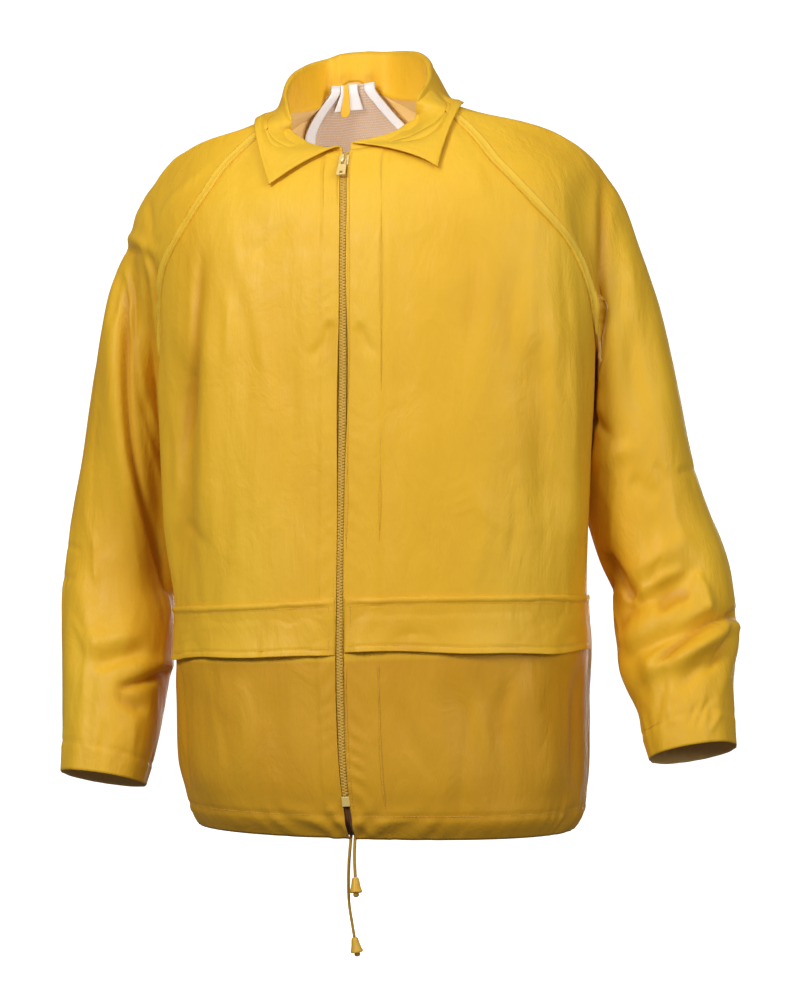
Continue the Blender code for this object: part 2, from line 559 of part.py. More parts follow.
class Sleeve:
    """One sleeve as a surface of (turn, way): turn goes round from the top of the shoulder (0) by the
    front to the underarm (+1) and by the back to the underarm (-1); way runs from the armhole (0) to
    the cuff (1)."""

    def __init__(self, side):
        self.side = side
        self.rows = ARMS[side]
        centres = np.array([row[:3] for row in self.rows])
        self.run = np.concatenate([[0], np.cumsum(np.linalg.norm(np.diff(centres, axis=0), axis=1))])
        self.length = self.run[-1]
        self.halves = armhole(side)

    def arm_column(self, run, name):
        return smooth(run, self.run, column(self.rows, ARM_COLUMNS, name))

    def centre(self, run):
        return np.stack([self.arm_column(run, axis) for axis in ("x", "y", "z")], axis=-1)

    def ring(self, turn, down):
        """The arm's own rings: down runs from 0 at the first ring to 1 at the cuff."""
        turn, down = np.broadcast_arrays(np.asarray(turn, float), np.asarray(down, float))
        run = down * self.length
        step = 0.004
        before, after = np.clip(run - step, 0, None), np.clip(run + step, None, self.length)
        axis = unit(self.centre(after) - self.centre(before))
        angle = np.radians(self.arm_column(run, "turn"))
        zero = np.zeros_like(angle)
        out = np.stack([self.side * np.cos(angle), np.sin(angle), zero], axis=-1)
        out = unit(out - axis * (out * axis).sum(-1, keepdims=True))
        front = np.stack([self.side * np.sin(angle), -np.cos(angle), zero], axis=-1)
        front = front - axis * (front * axis).sum(-1, keepdims=True)
        front = unit(front - out * (front * out).sum(-1, keepdims=True))
        c, s = np.cos(np.pi * turn), np.sin(np.pi * turn)
        power = 2 / 2.15
        c, s = np.sign(c) * np.abs(c) ** power, np.sign(s) * np.abs(s) ** power
        wide = (self.arm_column(run, "side") * c)[..., None]
        deep = (self.arm_column(run, "depth") * s)[..., None]
        return self.centre(run) + out * wide + front * deep

    def start(self, turn):
        """Where the sleeve leaves the armhole, and which way."""
        turn = np.asarray(turn, float)
        place, way = np.zeros(turn.shape + (3,)), np.zeros(turn.shape + (3,))
        for which, sign in (("front", 1), ("back", -1)):
            points, leave, _, _ = self.halves[which]
            here = (turn >= 0) if sign > 0 else (turn < 0)
            at, share = np.abs(turn[here]), share_of(points)
            place[here] = np.stack([np.interp(at, share, points[:, k]) for k in range(3)], -1)
            way[here] = np.stack([np.interp(at, share, leave[:, k]) for k in range(3)], -1)
        return place, unit(way)

    def bare(self, turn, way):
        turn, way = np.broadcast_arrays(np.asarray(turn, float), np.asarray(way, float))
        place, leave = self.start(turn)
        join = SLEEVE_SLANT * (1 - np.cos(np.pi * turn)) / 2
        first = self.ring(turn, join)
        onward = unit(self.ring(turn, join + 0.02) - first)
        reach = np.linalg.norm(first - place, axis=-1, keepdims=True)
        top = np.cos(np.pi * turn / 2)[..., None] ** 2
        cap = hermite(
            place,
            leave * reach * (0.80 + SHOULDER_PULL[self.side] * top),
            first,
            onward * reach * (0.90 + 0.60 * top),
            np.clip(way / CAP_SHARE, 0, 1),
        )
        tube = self.ring(turn, join + (1 - join) * np.clip((way - CAP_SHARE) / (1 - CAP_SHARE), 0, 1))
        return self.beside_body(way, np.where((way <= CAP_SHARE)[..., None], cap, tube))

    def beside_body(self, way, points):
        """The points, kept outside the body's side by a gap that opens from nothing at the seam."""
        x, y, z = (points[..., k] for k in range(3))
        gap = BODY_ROOM * ease(way / 0.045)
        least = self.side * body_side(self.side, y, z - tilt(x, z)) + gap
        here = self.side * x
        room = here - least
        soft = least + (room + np.sqrt(room**2 + (0.25 * gap) ** 2)) / 2
        below = ease((-0.13 - z) / 0.05) * ease(way / 0.02)
        out = points.copy()
        out[..., 0] = self.side * (here + (soft - here) * below)
        return out

    def push(self, turn, way, points):
        """How far the folds move the surface out. They leave the armhole seam and the cuff alone."""
        round_it = np.sin(np.pi * turn)
        fade = ease(way / 0.10) * ease((1.0 - way) / 0.06)
        total = np.zeros(points.shape[:-1])
        for rows, facing in ((ARM_FOLDS, round_it), (ARM_BACK_FOLDS, -round_it)):
            shows = ease((facing + 0.15) / 0.5)
            for row in rows[self.side]:
                total = total + shows * soft_line(points[..., 0], points[..., 2], *row)
        return total * fade

    def normal(self, turn, way):
        turn, way = np.broadcast_arrays(np.asarray(turn, float), np.asarray(way, float))
        along_turn = self.bare(turn + 0.004, way) - self.bare(turn - 0.004, way)
        lower, upper = np.clip(way - 0.004, 0, 1), np.clip(way + 0.004, 0, 1)
        along_way = self.bare(turn, upper) - self.bare(turn, lower)
        return unit(np.cross(along_turn, along_way)) * self.side

    def at(self, turn, way):
        turn, way = np.broadcast_arrays(np.asarray(turn, float), np.asarray(way, float))
        points = self.bare(turn, way)
        return points + self.normal(turn, way) * self.push(turn, way, points)[..., None]

    def turns_of_rows(self, rows_above, over_top):
        """The turns of the sleeve's columns: one for each row of the panels along both seams, and
        over_top of them across the neck arc."""
        turns = []
        for which, sign in (("front", 1), ("back", -1)):
            points, _, corner, _ = self.halves[which]
            share = share_of(points)
            rise = np.linspace(1, 0, 121)
            rows = np.linspace(1, 0, rows_above + 1)
            on_seam = np.interp(-rows, -rise, share[corner:])
            over = np.linspace(0, share[corner], over_top // 2 + 1)[:-1]
            half = np.concatenate([over, on_seam])
            turns.append(sign * half)
        front, back = turns
        return np.concatenate([back[::-1][:-1], front[:-1]])


# ---------------------------------------------------------------- making meshes and materials
def clear_scene():
    for old in list(bpy.data.objects):
        bpy.data.objects.remove(old)
    for old in list(bpy.data.collections):
        bpy.data.collections.remove(old)


def material(name, colour, roughness, metallic=0.0):
    made = bpy.data.materials.new(name)
    made.use_nodes = True
    shader = made.node_tree.nodes["Principled BSDF"]
    shader.inputs["Base Color"].default_value = (*colour, 1.0)
    shader.inputs["Roughness"].default_value = roughness
    shader.inputs["Metallic"].default_value = metallic
    return made


def new_object(name, data, finish, group):
    obj = bpy.data.objects.new(name, data)
    data.materials.append(finish)
    group.objects.link(obj)
    return obj


def grid_mesh(name, grid, closed=False):
    """A mesh of four-sided faces on a grid of points, rows by columns; closed joins the last column
    to the first."""
    rows, columns = grid.shape[:2]
    across = columns if closed else columns - 1
    faces = []
    for j in range(rows - 1):
        for i in range(across):
            k = (i + 1) % columns
            faces.append((j * columns + i, j * columns + k, (j + 1) * columns + k, (j + 1) * columns + i))
    mesh = bpy.data.meshes.new(name)
    mesh.from_pydata([tuple(p) for p in grid.reshape(-1, 3)], [], faces)
    mesh.shade_smooth()
    return mesh


def wall(name, grid, thickness, finish, group, closed=False):
    """A wall of cloth on a grid: the grid is its outer face, and Solidify adds the thickness inside."""
    obj = new_object(name, grid_mesh(name, grid, closed), finish, group)
    solid = obj.modifiers.new("wall", "SOLIDIFY")
    solid.thickness = thickness
    solid.offset = -1.0
    solid.use_even_offset = False
    return obj


def drawn_in(grid, gap, first_row=False, last_row=False, first_column=False, last_column=False):
    """The grid with those edges moved in along the cloth by half a seam gap."""
    out = grid.copy()
    for wanted, edge, inner in (
        (first_row, (0, slice(None)), (1, slice(None))),
        (last_row, (-1, slice(None)), (-2, slice(None))),
        (first_column, (slice(None), 0), (slice(None), 1)),
        (last_column, (slice(None), -1), (slice(None), -2)),
    ):
        if wanted:
            out[edge] = out[edge] + unit(out[inner] - out[edge]) * gap / 2
    return out


def tree_of(grids):
    """One search tree over several grids, given as (grid, closed)."""
    points, faces = [], []
    for n, (grid, closed) in enumerate(grids):
        mesh = grid_mesh(f"search_{n}", grid, closed)
        start = len(points)
        points += [v.co.copy() for v in mesh.vertices]
        faces += [tuple(start + i for i in p.vertices) for p in mesh.polygons]
        bpy.data.meshes.remove(mesh)
    return BVHTree.FromPolygons(points, faces)


def lifted(points, tree, clearance):
    """Points moved out of the cloth under them until each is at least that clear of its outer face."""
    out = points.copy().reshape(-1, 3)
    need = np.broadcast_to(clearance, points.shape[:-1]).reshape(-1)
    for _ in range(4):
        for i, point in enumerate(out):
            place, normal, _, _ = tree.find_nearest(Vector(point))
            height = (Vector(point) - place).dot(normal)
            if height < need[i]:
                out[i] = point + np.array(normal) * (need[i] - height)
    return out.reshape(points.shape)


# ---------------------------------------------------------------- the pieces
PANEL_ROWS = split_rows(ROWS_BELOW, ROWS_ABOVE)


def make_panels(group, cloth):
    for side, name in ((1, "front_left"), (-1, "front_right")):
        grid = front_points(side, FRONT_COLUMNS, PANEL_ROWS)
        left_edge, right_edge = (False, True) if side > 0 else (True, False)
        grid = drawn_in(grid, SEAM_GAP, last_row=True, first_column=left_edge, last_column=right_edge)
        wall(name, grid, CLOTH, cloth, group)
    grid = back_points(BACK_COLUMNS, PANEL_ROWS)
    grid = drawn_in(grid, SEAM_GAP, last_row=True, first_column=True, last_column=True)
    wall("back", grid, CLOTH, cloth, group)


def outside_grids(sleeves):
    """The outer faces that the collar lies on, as (grid, closed) pairs."""
    grids = [(front_points(side, FRONT_COLUMNS, PANEL_ROWS), False) for side in (1, -1)]
    grids.append((back_points(BACK_COLUMNS, PANEL_ROWS), False))
    grids += [(sleeve_points(sleeves[side]), True) for side in (1, -1)]
    return grids


def sleeve_points(sleeve):
    turns = sleeve.turns_of_rows(ROWS_ABOVE, SLEEVE_OVER_TOP)
    cap = CAP_SHARE * np.linspace(0, 1, SLEEVE_CAP_ROWS + 1)[:-1] ** 1.5
    arm = np.linspace(CAP_SHARE, 1, SLEEVE_ARM_ROWS + 1)
    ways = np.concatenate([cap, arm])
    grid = sleeve.at(turns[None, :], ways[:, None])
    return grid if sleeve.side > 0 else grid[:, ::-1]


def make_sleeves(group, cloth, sleeves):
    for side, name in ((1, "sleeve_left"), (-1, "sleeve_right")):
        grid = drawn_in(sleeve_points(sleeves[side]), SEAM_GAP, first_row=True)
        wall(name, grid, CLOTH, cloth, group, closed=True)


def collar_points():
    """The collar from its seam up the stand, over the roll and down the leaf, as rows, with columns
    from the zip on the wearer's right round the back to the zip on the left. It is the face that
    shows: inside on the stand, outside on the leaf."""
    share = np.linspace(-1, 1, COLLAR_AROUND + 1)
    side, way = np.where(share < 0, -1.0, 1.0), np.abs(share)
    ways = column(COLLAR, COLLAR_COLUMNS, "way")
    stand, lean, edge_out, edge_y, edge_z = (
        smooth(way, ways, column(COLLAR, COLLAR_COLUMNS, name)) for name in COLLAR_COLUMNS[1:]
    )
    seam = neckline(COLLAR_AROUND + 1)
    run = unit(np.gradient(seam, axis=0))
    out = unit(np.stack([-run[:, 1], run[:, 0], np.zeros(len(run))], axis=1))
    up = np.array([0.0, 0.0, 1.0])
    edge_x, edge_y = turned(NECK_CENTRE_X + side * edge_out, edge_y, NECK_TURN_DEG)
    edge = np.stack([edge_x, edge_y, edge_z + tilt(edge_x, edge_z)], axis=1)
    base = seam + up * SEAM_GAP * 1.5
    roll = COLLAR_ROLL * (1 - 0.4 * way)[:, None]
    rows = []
    for t in (0.0, 0.5, 1.0):
        rows.append(base + up * stand[:, None] * t + out * lean[:, None] * t)
    centre = rows[-1] + out * roll
    for turn in (45, 90, 135, 180):
        c, s = math.cos(math.radians(turn)), math.sin(math.radians(turn))
        rows.append(centre - out * roll * c + up * roll * s)
    start = rows[-1]
    reach = np.linalg.norm(edge - start, axis=1, keepdims=True)
    sideways = ease((way - 0.45) / 0.45)[:, None]
    pull = unit(-up * (1 - sideways) + unit(edge - start) * sideways + out * 0.25) * reach
    for t in (0.12, 0.3, 0.5, 0.7, 0.86, 1.0):
        rows.append(hermite(start, pull, edge, (edge - start), np.full(len(start), t)))
    return np.array(rows)


def make_collar(group, cloth, outside):
    grid = collar_points()
    leaf = grid[COLLAR_STAND_ROWS:]
    grid[COLLAR_STAND_ROWS:] = lifted(leaf, outside, COLLAR_CLOTH + COLLAR_ROOM)
    wall("collar", grid[:, ::-1], COLLAR_CLOTH, cloth, group)


def flap_points(side):
    """The waist flap on one side of the front, from its sewn top edge down."""
    f = np.linspace(0, 1, FLAP_AROUND + 1)
    down = column(FLAP_SECTION, FLAP_COLUMNS, "down")
    grid = []
    for share, off in FLAP_SECTION:
        z = FLAP_TOP_Z + (FLAP_BOTTOM_Z - FLAP_TOP_Z) * share + FLAP_RISE * (1 - f)
        start = deg_of(FLAP_START, z)
        deg = side * (start + (side_deg(z) - FLAP_END_DEG - start) * f)
        grid.append(body(deg, z) + body_normal(deg, z) * (off + CLOTH))
    return np.array(grid[::-1])[:, ::side]


def make_flaps(group, cloth):
    for side, name in ((1, "flap_left"), (-1, "flap_right")):
        wall(name, flap_points(side), CLOTH, cloth, group)


def strip_on_front(x0, x1, z0, z1, height):
    """A strip along the zip between two distances along X from its line, that high above the fronts,
    with its rows at the fronts' own."""
    rows = np.array([front_row(low, high, 0.0)[0] for low, high in PANEL_ROWS])
    inside = rows[(rows > z0 + 0.004) & (rows < z1 - 0.004)]
    z = np.concatenate([[z0], inside, [z1]])[:, None]
    deg = deg_of(np.array([[x0, x1]]), z)
    return body(deg, z) + body_normal(deg, z) * height


def make_zip(group, tape, teeth):
    for side, name in ((1, "zip_tape_left"), (-1, "zip_tape_right")):
        x0, x1 = sorted((side * SEAM_GAP / 2, side * TAPE_WIDTH))
        grid = strip_on_front(x0, x1, ZIP_END_Z - END_BOX_SIZE[2], ZIP_TOP_Z, TAPE_FACE)
        wall(name, grid, TAPE_WALL, tape, group)
    half = CHAIN_WIDTH / 2
    bottom = ZIP_END_Z + END_BOX_SIZE[2] / 2 + LAY_GAP
    grid = strip_on_front(-half, half, bottom, ZIP_TOP_Z, CHAIN_TOP)
    wall("zip_chain", grid, CHAIN_WALL, teeth, group)


def place_on_front(z):
    """A frame on the zip's line: X across it, Y out of the cloth and Z up along it."""
    out = body_normal(0.0, z)
    up = unit(body(0.0, z + 0.002) - body(0.0, z - 0.002))
    across = unit(np.cross(out, up))
    rows = Matrix((tuple(across), tuple(out), tuple(up))).transposed()
    return Matrix.Translation(Vector(body(0.0, z))) @ rows.to_4x4()


def box_mesh(name, size, centre):
    mesh = bpy.data.meshes.new(name)
    shape = bmesh.new()
    bmesh.ops.create_cube(shape, size=1.0)
    bmesh.ops.scale(shape, vec=size, verts=shape.verts)
    bmesh.ops.translate(shape, vec=centre, verts=shape.verts)
    shape.to_mesh(mesh)
    shape.free()
    return mesh


def bevelled(obj, width):
    bevel = obj.modifiers.new("edges", "BEVEL")
    bevel.width = width
    bevel.segments = 2
    bevel.limit_method = "ANGLE"


def make_slider(group, metal, cutters):
    place = place_on_front(SLIDER_Z)
    middle = (0, SLIDER_FOOT + SLIDER_SIZE[1] / 2, 0)
    slider = new_object("zip_slider", box_mesh("zip_slider", SLIDER_SIZE, middle), metal, group)
    bevelled(slider, 0.0005)
    width, thick, length = BRIDGE_SIZE
    top = SLIDER_TOP + BRIDGE_ROOM + thick
    foot = SLIDER_TOP - SLIDER_SIZE[1] / 2
    path = [(length / 2, foot), (length / 2, top - 0.0014)]
    path += [(length / 2 - 0.0005, top - 0.0005), (length / 2 - 0.0014, top)]
    path += [(-z, y) for z, y in path[::-1]]
    grid = np.array([[(x, y, z) for x in (width / 2, -width / 2)] for z, y in path])
    bridge = wall("zip_slider_bridge", grid, thick, metal, cutters)
    bridge.hide_render = True
    bridge.display_type = "WIRE"
    union = slider.modifiers.new("bridge", "BOOLEAN")
    union.operation = "UNION"
    union.object = bridge
    slider.matrix_world = place
    bridge.matrix_world = place


def rounded_outline(points, radius, steps=3):
    """A closed outline with its corners rounded off."""
    out = []
    for i, corner in enumerate(points):
        before, here, after = (np.array(points[k % len(points)]) for k in (i - 1, i, i + 1))
        first, last = here + unit(before - here) * radius, here + unit(after - here) * radius
        for t in np.linspace(0, 1, steps + 1):
            out.append((1 - t) ** 2 * first + 2 * t * (1 - t) * here + t * t * last)
    return out


TAB_OUTLINE = (
    (-0.0032, 0.0007), (0.0032, 0.0007), (0.0032, -0.0066), (0.0045, -0.0086),
    (0.0045, -0.0215), (-0.0045, -0.0215), (-0.0045, -0.0086), (-0.0032, -0.0066),
)
TAB_WINDOW = ((-0.0018, -0.0007), (-0.0018, -0.0066), (0.0018, -0.0066), (0.0018, -0.0007))
TAB_HOLE = ((-0.0016, -0.0160), (-0.0016, -0.0192), (0.0016, -0.0192), (0.0016, -0.0160))


def make_pull_tab(group, metal):
    """The tab lies in its own XZ plane, with the hinge's axis along X through its origin."""
    flat = bpy.data.curves.new("zip_pull_tab", "CURVE")
    flat.dimensions = "2D"
    flat.fill_mode = "BOTH"
    flat.extrude = TAB_WALL / 2
    for outline, radius in ((TAB_OUTLINE, 0.0009), (TAB_WINDOW, 0.0004), (TAB_HOLE, 0.0004)):
        points = rounded_outline(outline, radius)
        spline = flat.splines.new("POLY")
        spline.points.add(len(points) - 1)
        for point, (x, y) in zip(spline.points, points):
            point.co = (x, y, 0.0, 1.0)
        spline.use_cyclic_u = True
    tab = new_object("zip_pull_tab", flat, metal, group)
    axis = Matrix.Translation((0.0, TAB_AXIS_OUT, -TAB_AXIS_DOWN))
    upright = Matrix.Rotation(math.radians(90 + TAB_REST_DEG), 4, "X")
    tab.matrix_world = place_on_front(SLIDER_Z) @ axis @ upright


def make_end_box(group, metal):
    middle = (0, TAPE_FACE + LAY_GAP + END_BOX_SIZE[1] / 2, 0)
    box = new_object("zip_end_box", box_mesh("zip_end_box", END_BOX_SIZE, middle), metal, group)
    bevelled(box, 0.0006)
    box.matrix_world = place_on_front(ZIP_END_Z)


def welt_points(sleeve, which):
    """One felled raglan seam: a band along the sleeve's side of it, on the sleeve's own columns."""
    sign = 1 if which == "front" else -1
    points, _, corner, z = sleeve.halves[which]
    share = share_of(points)
    last = np.interp(-WELT_END_Z[which], -z, share[corner:])
    turns = sleeve.turns_of_rows(ROWS_ABOVE, SLEEVE_OVER_TOP) * sign
    turns = turns[(turns > share[corner] + 0.002) & (turns < last - 0.01)]
    first = share[corner] + WELT_START[which]
    turns = sign * np.sort(np.concatenate([turns[turns > first + 0.004], [first, last]]))
    ways = np.linspace(0, 0.16, 41)
    across = np.array([WELT_IN + WELT_WIDTH, WELT_IN + WELT_WIDTH * 0.5, WELT_IN])
    lines = sleeve.at(turns[:, None], ways[None, :])
    grid = []
    for turn, line in zip(turns, lines):
        run = np.concatenate([[0], np.cumsum(np.linalg.norm(np.diff(line, axis=0), axis=1))])
        grid.append(sleeve.at(turn, np.interp(across, run, ways)))
    grid = np.array(grid)
    return grid if sign * sleeve.side > 0 else grid[:, ::-1]


def make_welts(group, cloth, sleeves):
    grids = []
    for side, hand in ((1, "left"), (-1, "right")):
        under = tree_of([(drawn_in(sleeve_points(sleeves[side]), SEAM_GAP, first_row=True), True)])
        for which in ("front", "back"):
            grid = lifted(welt_points(sleeves[side], which), under, WELT_WALL + WELT_ROOM)
            wall(f"welt_{which}_{hand}", grid, WELT_WALL, cloth, group)
            grids.append((grid, False))
    return grids


def lining_points(inward):
    """The lining inside the back between the raglan seams, its rows from the bottom up and its columns
    from the wearer's left."""
    z = np.linspace(LINING_BOTTOM_Z, LINING_TOP_Z, LINING_ROWS + 1)[:, None]
    g = np.linspace(-1, 1, LINING_COLUMNS + 1)[None, :]
    edge = seam_deg(z, "back") + LINING_EDGE_DEG
    deg = 180.0 + g * (180.0 - edge)
    return body(deg, z) - body_normal(deg, z) * inward


def grid_normals(grid):
    """Outward normals at a grid's points, from its own slopes."""
    return unit(np.cross(np.gradient(grid, axis=1), np.gradient(grid, axis=0)))


def from_edge(grid, distance):
    """The points that lie that far from a grid's first column, along its rows."""
    run = np.cumsum(np.linalg.norm(np.diff(grid, axis=1), axis=2), axis=1)
    run = np.concatenate([np.zeros((len(grid), 1)), run], axis=1)
    return np.array([[np.interp(distance, r, line[:, k]) for k in range(3)] for r, line in zip(run, grid)])


def make_lining(group, mesh_cloth, white, cloth):
    lining = lining_points(CLOTH + LINING_OFF)
    wall("mesh_lining", lining, LINING_WALL, mesh_cloth, group)
    inner = lining - grid_normals(lining) * (LINING_WALL + BINDING_ROOM)
    for flip, name in ((1, "mesh_binding_left"), (-1, "mesh_binding_right")):
        half = inner[:, ::flip]
        strip = np.stack([half[:, 0], from_edge(half, BINDING_WIDTH)], axis=1)
        wall(name, strip[:, ::flip], CLOTH, white, group)
    on_lining = CLOTH + LINING_OFF + LINING_WALL + BINDING_ROOM + CLOTH + LAY_GAP
    for name, half_width, drop, inward, finish in (
        ("neck_label", LABEL_HALF_WIDTH, LABEL_DROP, on_lining, white),
        ("hanger_loop", LOOP_HALF_WIDTH, LOOP_DROP, on_lining + CLOTH + LAY_GAP, cloth),
    ):
        z = np.linspace(LINING_TOP_Z - drop, LINING_TOP_Z, 5)[:, None]
        turn = np.degrees(half_width / BACK_NECK_RADIUS)
        deg = 180.0 + np.array([-turn, -turn / 3, turn / 3, turn])[None, :]
        wall(name, body(deg, z) - body_normal(deg, z) * inward, CLOTH, finish, group)


def cord_line(rows):
    """The cord's middle line as points a step apart on one smooth curve through its own points."""
    points = np.array(rows) + np.array([body_column(HEM_Z, "zip"), 0.0, 0.0])
    run = np.concatenate([[0], np.cumsum(np.linalg.norm(np.diff(points, axis=0), axis=1))])
    at = np.linspace(0, run[-1], max(4, int(round(run[-1] / CORD_STEP))) + 1)
    return np.stack([smooth(at, run, points[:, k]) for k in range(3)], axis=1)


def make_cord(name, rows, finish, group):
    line = cord_line(rows)
    curve = bpy.data.curves.new(name, "CURVE")
    curve.dimensions = "3D"
    curve.bevel_depth = CORD_DIAMETER / 2
    curve.bevel_resolution = 2
    curve.use_fill_caps = True
    spline = curve.splines.new("POLY")
    spline.points.add(len(line) - 1)
    for point, place in zip(spline.points, line):
        point.co = (*place, 1.0)
    new_object(name, curve, finish, group)
    return line


# A cord end's bell and the knot under it: radius and how far down.
TOGGLE_PROFILE = (
    (0.0000, 0.0000), (0.0026, 0.0004), (0.0034, 0.0030), (0.0042, 0.0080), (0.0056, 0.0130),
    (0.0058, 0.0146), (0.0048, 0.0154), (0.0020, 0.0156), (0.0019, 0.0164), (0.0027, 0.0176),
    (0.0024, 0.0190), (0.0000, 0.0198),
)


def make_toggle(name, line, finish, group):
    mesh = bpy.data.meshes.new(name)
    points = [(radius, 0.0, -down) for radius, down in TOGGLE_PROFILE]
    mesh.from_pydata(points, [(i, i + 1) for i in range(len(points) - 1)], [])
    toggle = new_object(name, mesh, finish, group)
    turn = toggle.modifiers.new("turned", "SCREW")
    turn.axis = "Z"
    turn.steps = 10
    turn.render_steps = 10
    turn.use_merge_vertices = True
    turn.merge_threshold = 0.00002
    way = Vector(line[-1] - line[-2]).normalized()
    toggle.rotation_mode = "QUATERNION"
    toggle.rotation_quaternion = (-way).to_track_quat("Z", "Y")
    toggle.location = Vector(line[-1]) + way * 0.0003


def main():
    clear_scene()
    group = bpy.data.collections.new("rain_jacket")
    cutters = bpy.data.collections.new("cutters")
    for made in (group, cutters):
        bpy.context.scene.collection.children.link(made)
    cloth = material("coated_cloth", (0.86, 0.52, 0.035), 0.42)
    tape = material("zip_tape", (0.80, 0.52, 0.06), 0.80)
    teeth = material("zip_teeth", (0.72, 0.52, 0.12), 0.45)
    metal = material("painted_metal", (0.80, 0.60, 0.22), 0.40)
    mesh_cloth = material("mesh_lining", (0.86, 0.72, 0.62), 0.85)
    white = material("white_tape", (0.88, 0.87, 0.86), 0.80)
    cord = material("drawcord", (0.80, 0.53, 0.10), 0.80)
    rubber = material("cord_ends", (0.83, 0.58, 0.11), 0.45)
    sleeves = {side: Sleeve(side) for side in (1, -1)}
    make_panels(group, cloth)
    make_sleeves(group, cloth, sleeves)
    welts = make_welts(group, cloth, sleeves)
    make_collar(group, cloth, tree_of(outside_grids(sleeves) + welts))
    make_flaps(group, cloth)
    make_zip(group, tape, teeth)
    make_slider(group, metal, cutters)
    make_pull_tab(group, metal)
    make_end_box(group, metal)
    make_lining(group, mesh_cloth, white, cloth)
    for hand, rows in (("long", CORD_LONG), ("short", CORD_SHORT)):
        line = make_cord(f"cord_{hand}", rows, cord, group)
        make_toggle(f"toggle_{hand}", line, rubber, group)


main()
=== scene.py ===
# %% [markdown]
# # A yellow rain jacket, filled out as if worn
#
# The real one is a hip-length jacket of thin coated polyester: two fronts, one back, raglan sleeves
# that run up to a fold-down collar, an open-ended zip, a flap across each front at the waist and a
# drawcord in the hem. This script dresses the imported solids. Each cloth piece is a surface of two
# parameters, worked out with numpy as a whole grid of points, and given its wall by Solidify.
# Everything is in metres, +Z up; the front faces -Y and the wearer's left is +X.

# %% Load the frame
import math

import bpy
import numpy as np
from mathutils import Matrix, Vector
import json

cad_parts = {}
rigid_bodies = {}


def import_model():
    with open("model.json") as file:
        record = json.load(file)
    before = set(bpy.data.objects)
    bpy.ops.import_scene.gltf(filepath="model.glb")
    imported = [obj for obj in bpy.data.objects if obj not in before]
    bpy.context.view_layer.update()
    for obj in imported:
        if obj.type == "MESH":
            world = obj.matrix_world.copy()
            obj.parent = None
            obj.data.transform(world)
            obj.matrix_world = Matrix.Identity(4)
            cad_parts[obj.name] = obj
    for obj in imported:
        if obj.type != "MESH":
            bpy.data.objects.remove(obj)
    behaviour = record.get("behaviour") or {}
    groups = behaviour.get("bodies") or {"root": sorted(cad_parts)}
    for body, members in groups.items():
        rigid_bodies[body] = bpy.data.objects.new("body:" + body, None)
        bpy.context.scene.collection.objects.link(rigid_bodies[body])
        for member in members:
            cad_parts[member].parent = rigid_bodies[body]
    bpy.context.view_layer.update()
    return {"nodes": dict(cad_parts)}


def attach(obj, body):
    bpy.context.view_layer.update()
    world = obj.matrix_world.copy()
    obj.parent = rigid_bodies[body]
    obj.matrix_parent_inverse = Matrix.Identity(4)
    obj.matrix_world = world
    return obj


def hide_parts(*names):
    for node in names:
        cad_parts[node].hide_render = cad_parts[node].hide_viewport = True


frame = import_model()
print("nodes in the frame:", len(frame["nodes"]))

# %% [markdown]
# ## Camera
#
# The photo was taken from the height of the jacket's middle with a long lens, about 13 degrees round
# to the wearer's left. A long lens far away keeps both sleeves nearly the same size, as in the photo.
# The camera comes first, because the creases are placed later by where they show in the photo.

# %% Place the camera
PHOTO_SIZE = (798, 1000)
VIEW_DEG = 13.0
CAMERA_AWAY = 2.8
LENS_MM, SENSOR_MM = 96.0, 36.0
AIM_RIGHT, AIM_Z = 0.0252, -0.401

VIEW_RIGHT = np.array([math.cos(math.radians(VIEW_DEG)), math.sin(math.radians(VIEW_DEG)), 0.0])
TO_CAMERA = np.array([math.sin(math.radians(VIEW_DEG)), -math.cos(math.radians(VIEW_DEG)), 0.0])
AIM = VIEW_RIGHT * AIM_RIGHT + np.array([0.0, 0.0, AIM_Z])


def new_object(name, data):
    made = bpy.data.objects.new(name, data)
    bpy.context.scene.collection.objects.link(made)
    return made


def aimed(thing, place, along):
    """A camera or lamp put at a place, looking along a direction."""
    thing.location = place
    thing.rotation_mode = "QUATERNION"
    thing.rotation_quaternion = Vector(along).to_track_quat("-Z", "Y")
    return thing


def add_camera():
    data = bpy.data.cameras.new("camera")
    data.lens, data.sensor_width = LENS_MM, SENSOR_MM
    camera = aimed(new_object("camera", data), AIM + TO_CAMERA * CAMERA_AWAY, -TO_CAMERA)
    bpy.context.scene.camera = camera
    return camera


def in_photo(points):
    """Where points show in the photo, in its pixels: the distance right of and below the view's
    centre, scaled by the lens over the distance from the camera."""
    away = CAMERA_AWAY - (points - AIM) @ TO_CAMERA
    scale = LENS_MM / SENSOR_MM * PHOTO_SIZE[1] / away
    across = PHOTO_SIZE[0] / 2 + scale * ((points - AIM) @ VIEW_RIGHT)
    return across, PHOTO_SIZE[1] / 2 - scale * (points[..., 2] - AIM_Z)


PIXEL = CAMERA_AWAY * SENSOR_MM / LENS_MM / PHOTO_SIZE[1]  # metres of the jacket to one pixel
print("camera", [round(v, 3) for v in add_camera().location], "metres a pixel", round(PIXEL, 5))

# %% [markdown]
# ## Small helpers for curves and grids
#
# A smooth curve through a few named points, a soft step and a unit vector are all that the shapes
# below need. `grid_mesh` turns a grid of points, rows by columns, into four-sided faces, and gives it
# a UV map in metres along and across the cloth, so that a weave has its real size everywhere.

# %% Curves and grids
SIDES = ((1, "left"), (-1, "right"))  # the wearer's, as the sign of X and a word for names


def column(rows, columns, name):
    return np.array([row[columns.index(name)] for row in rows])


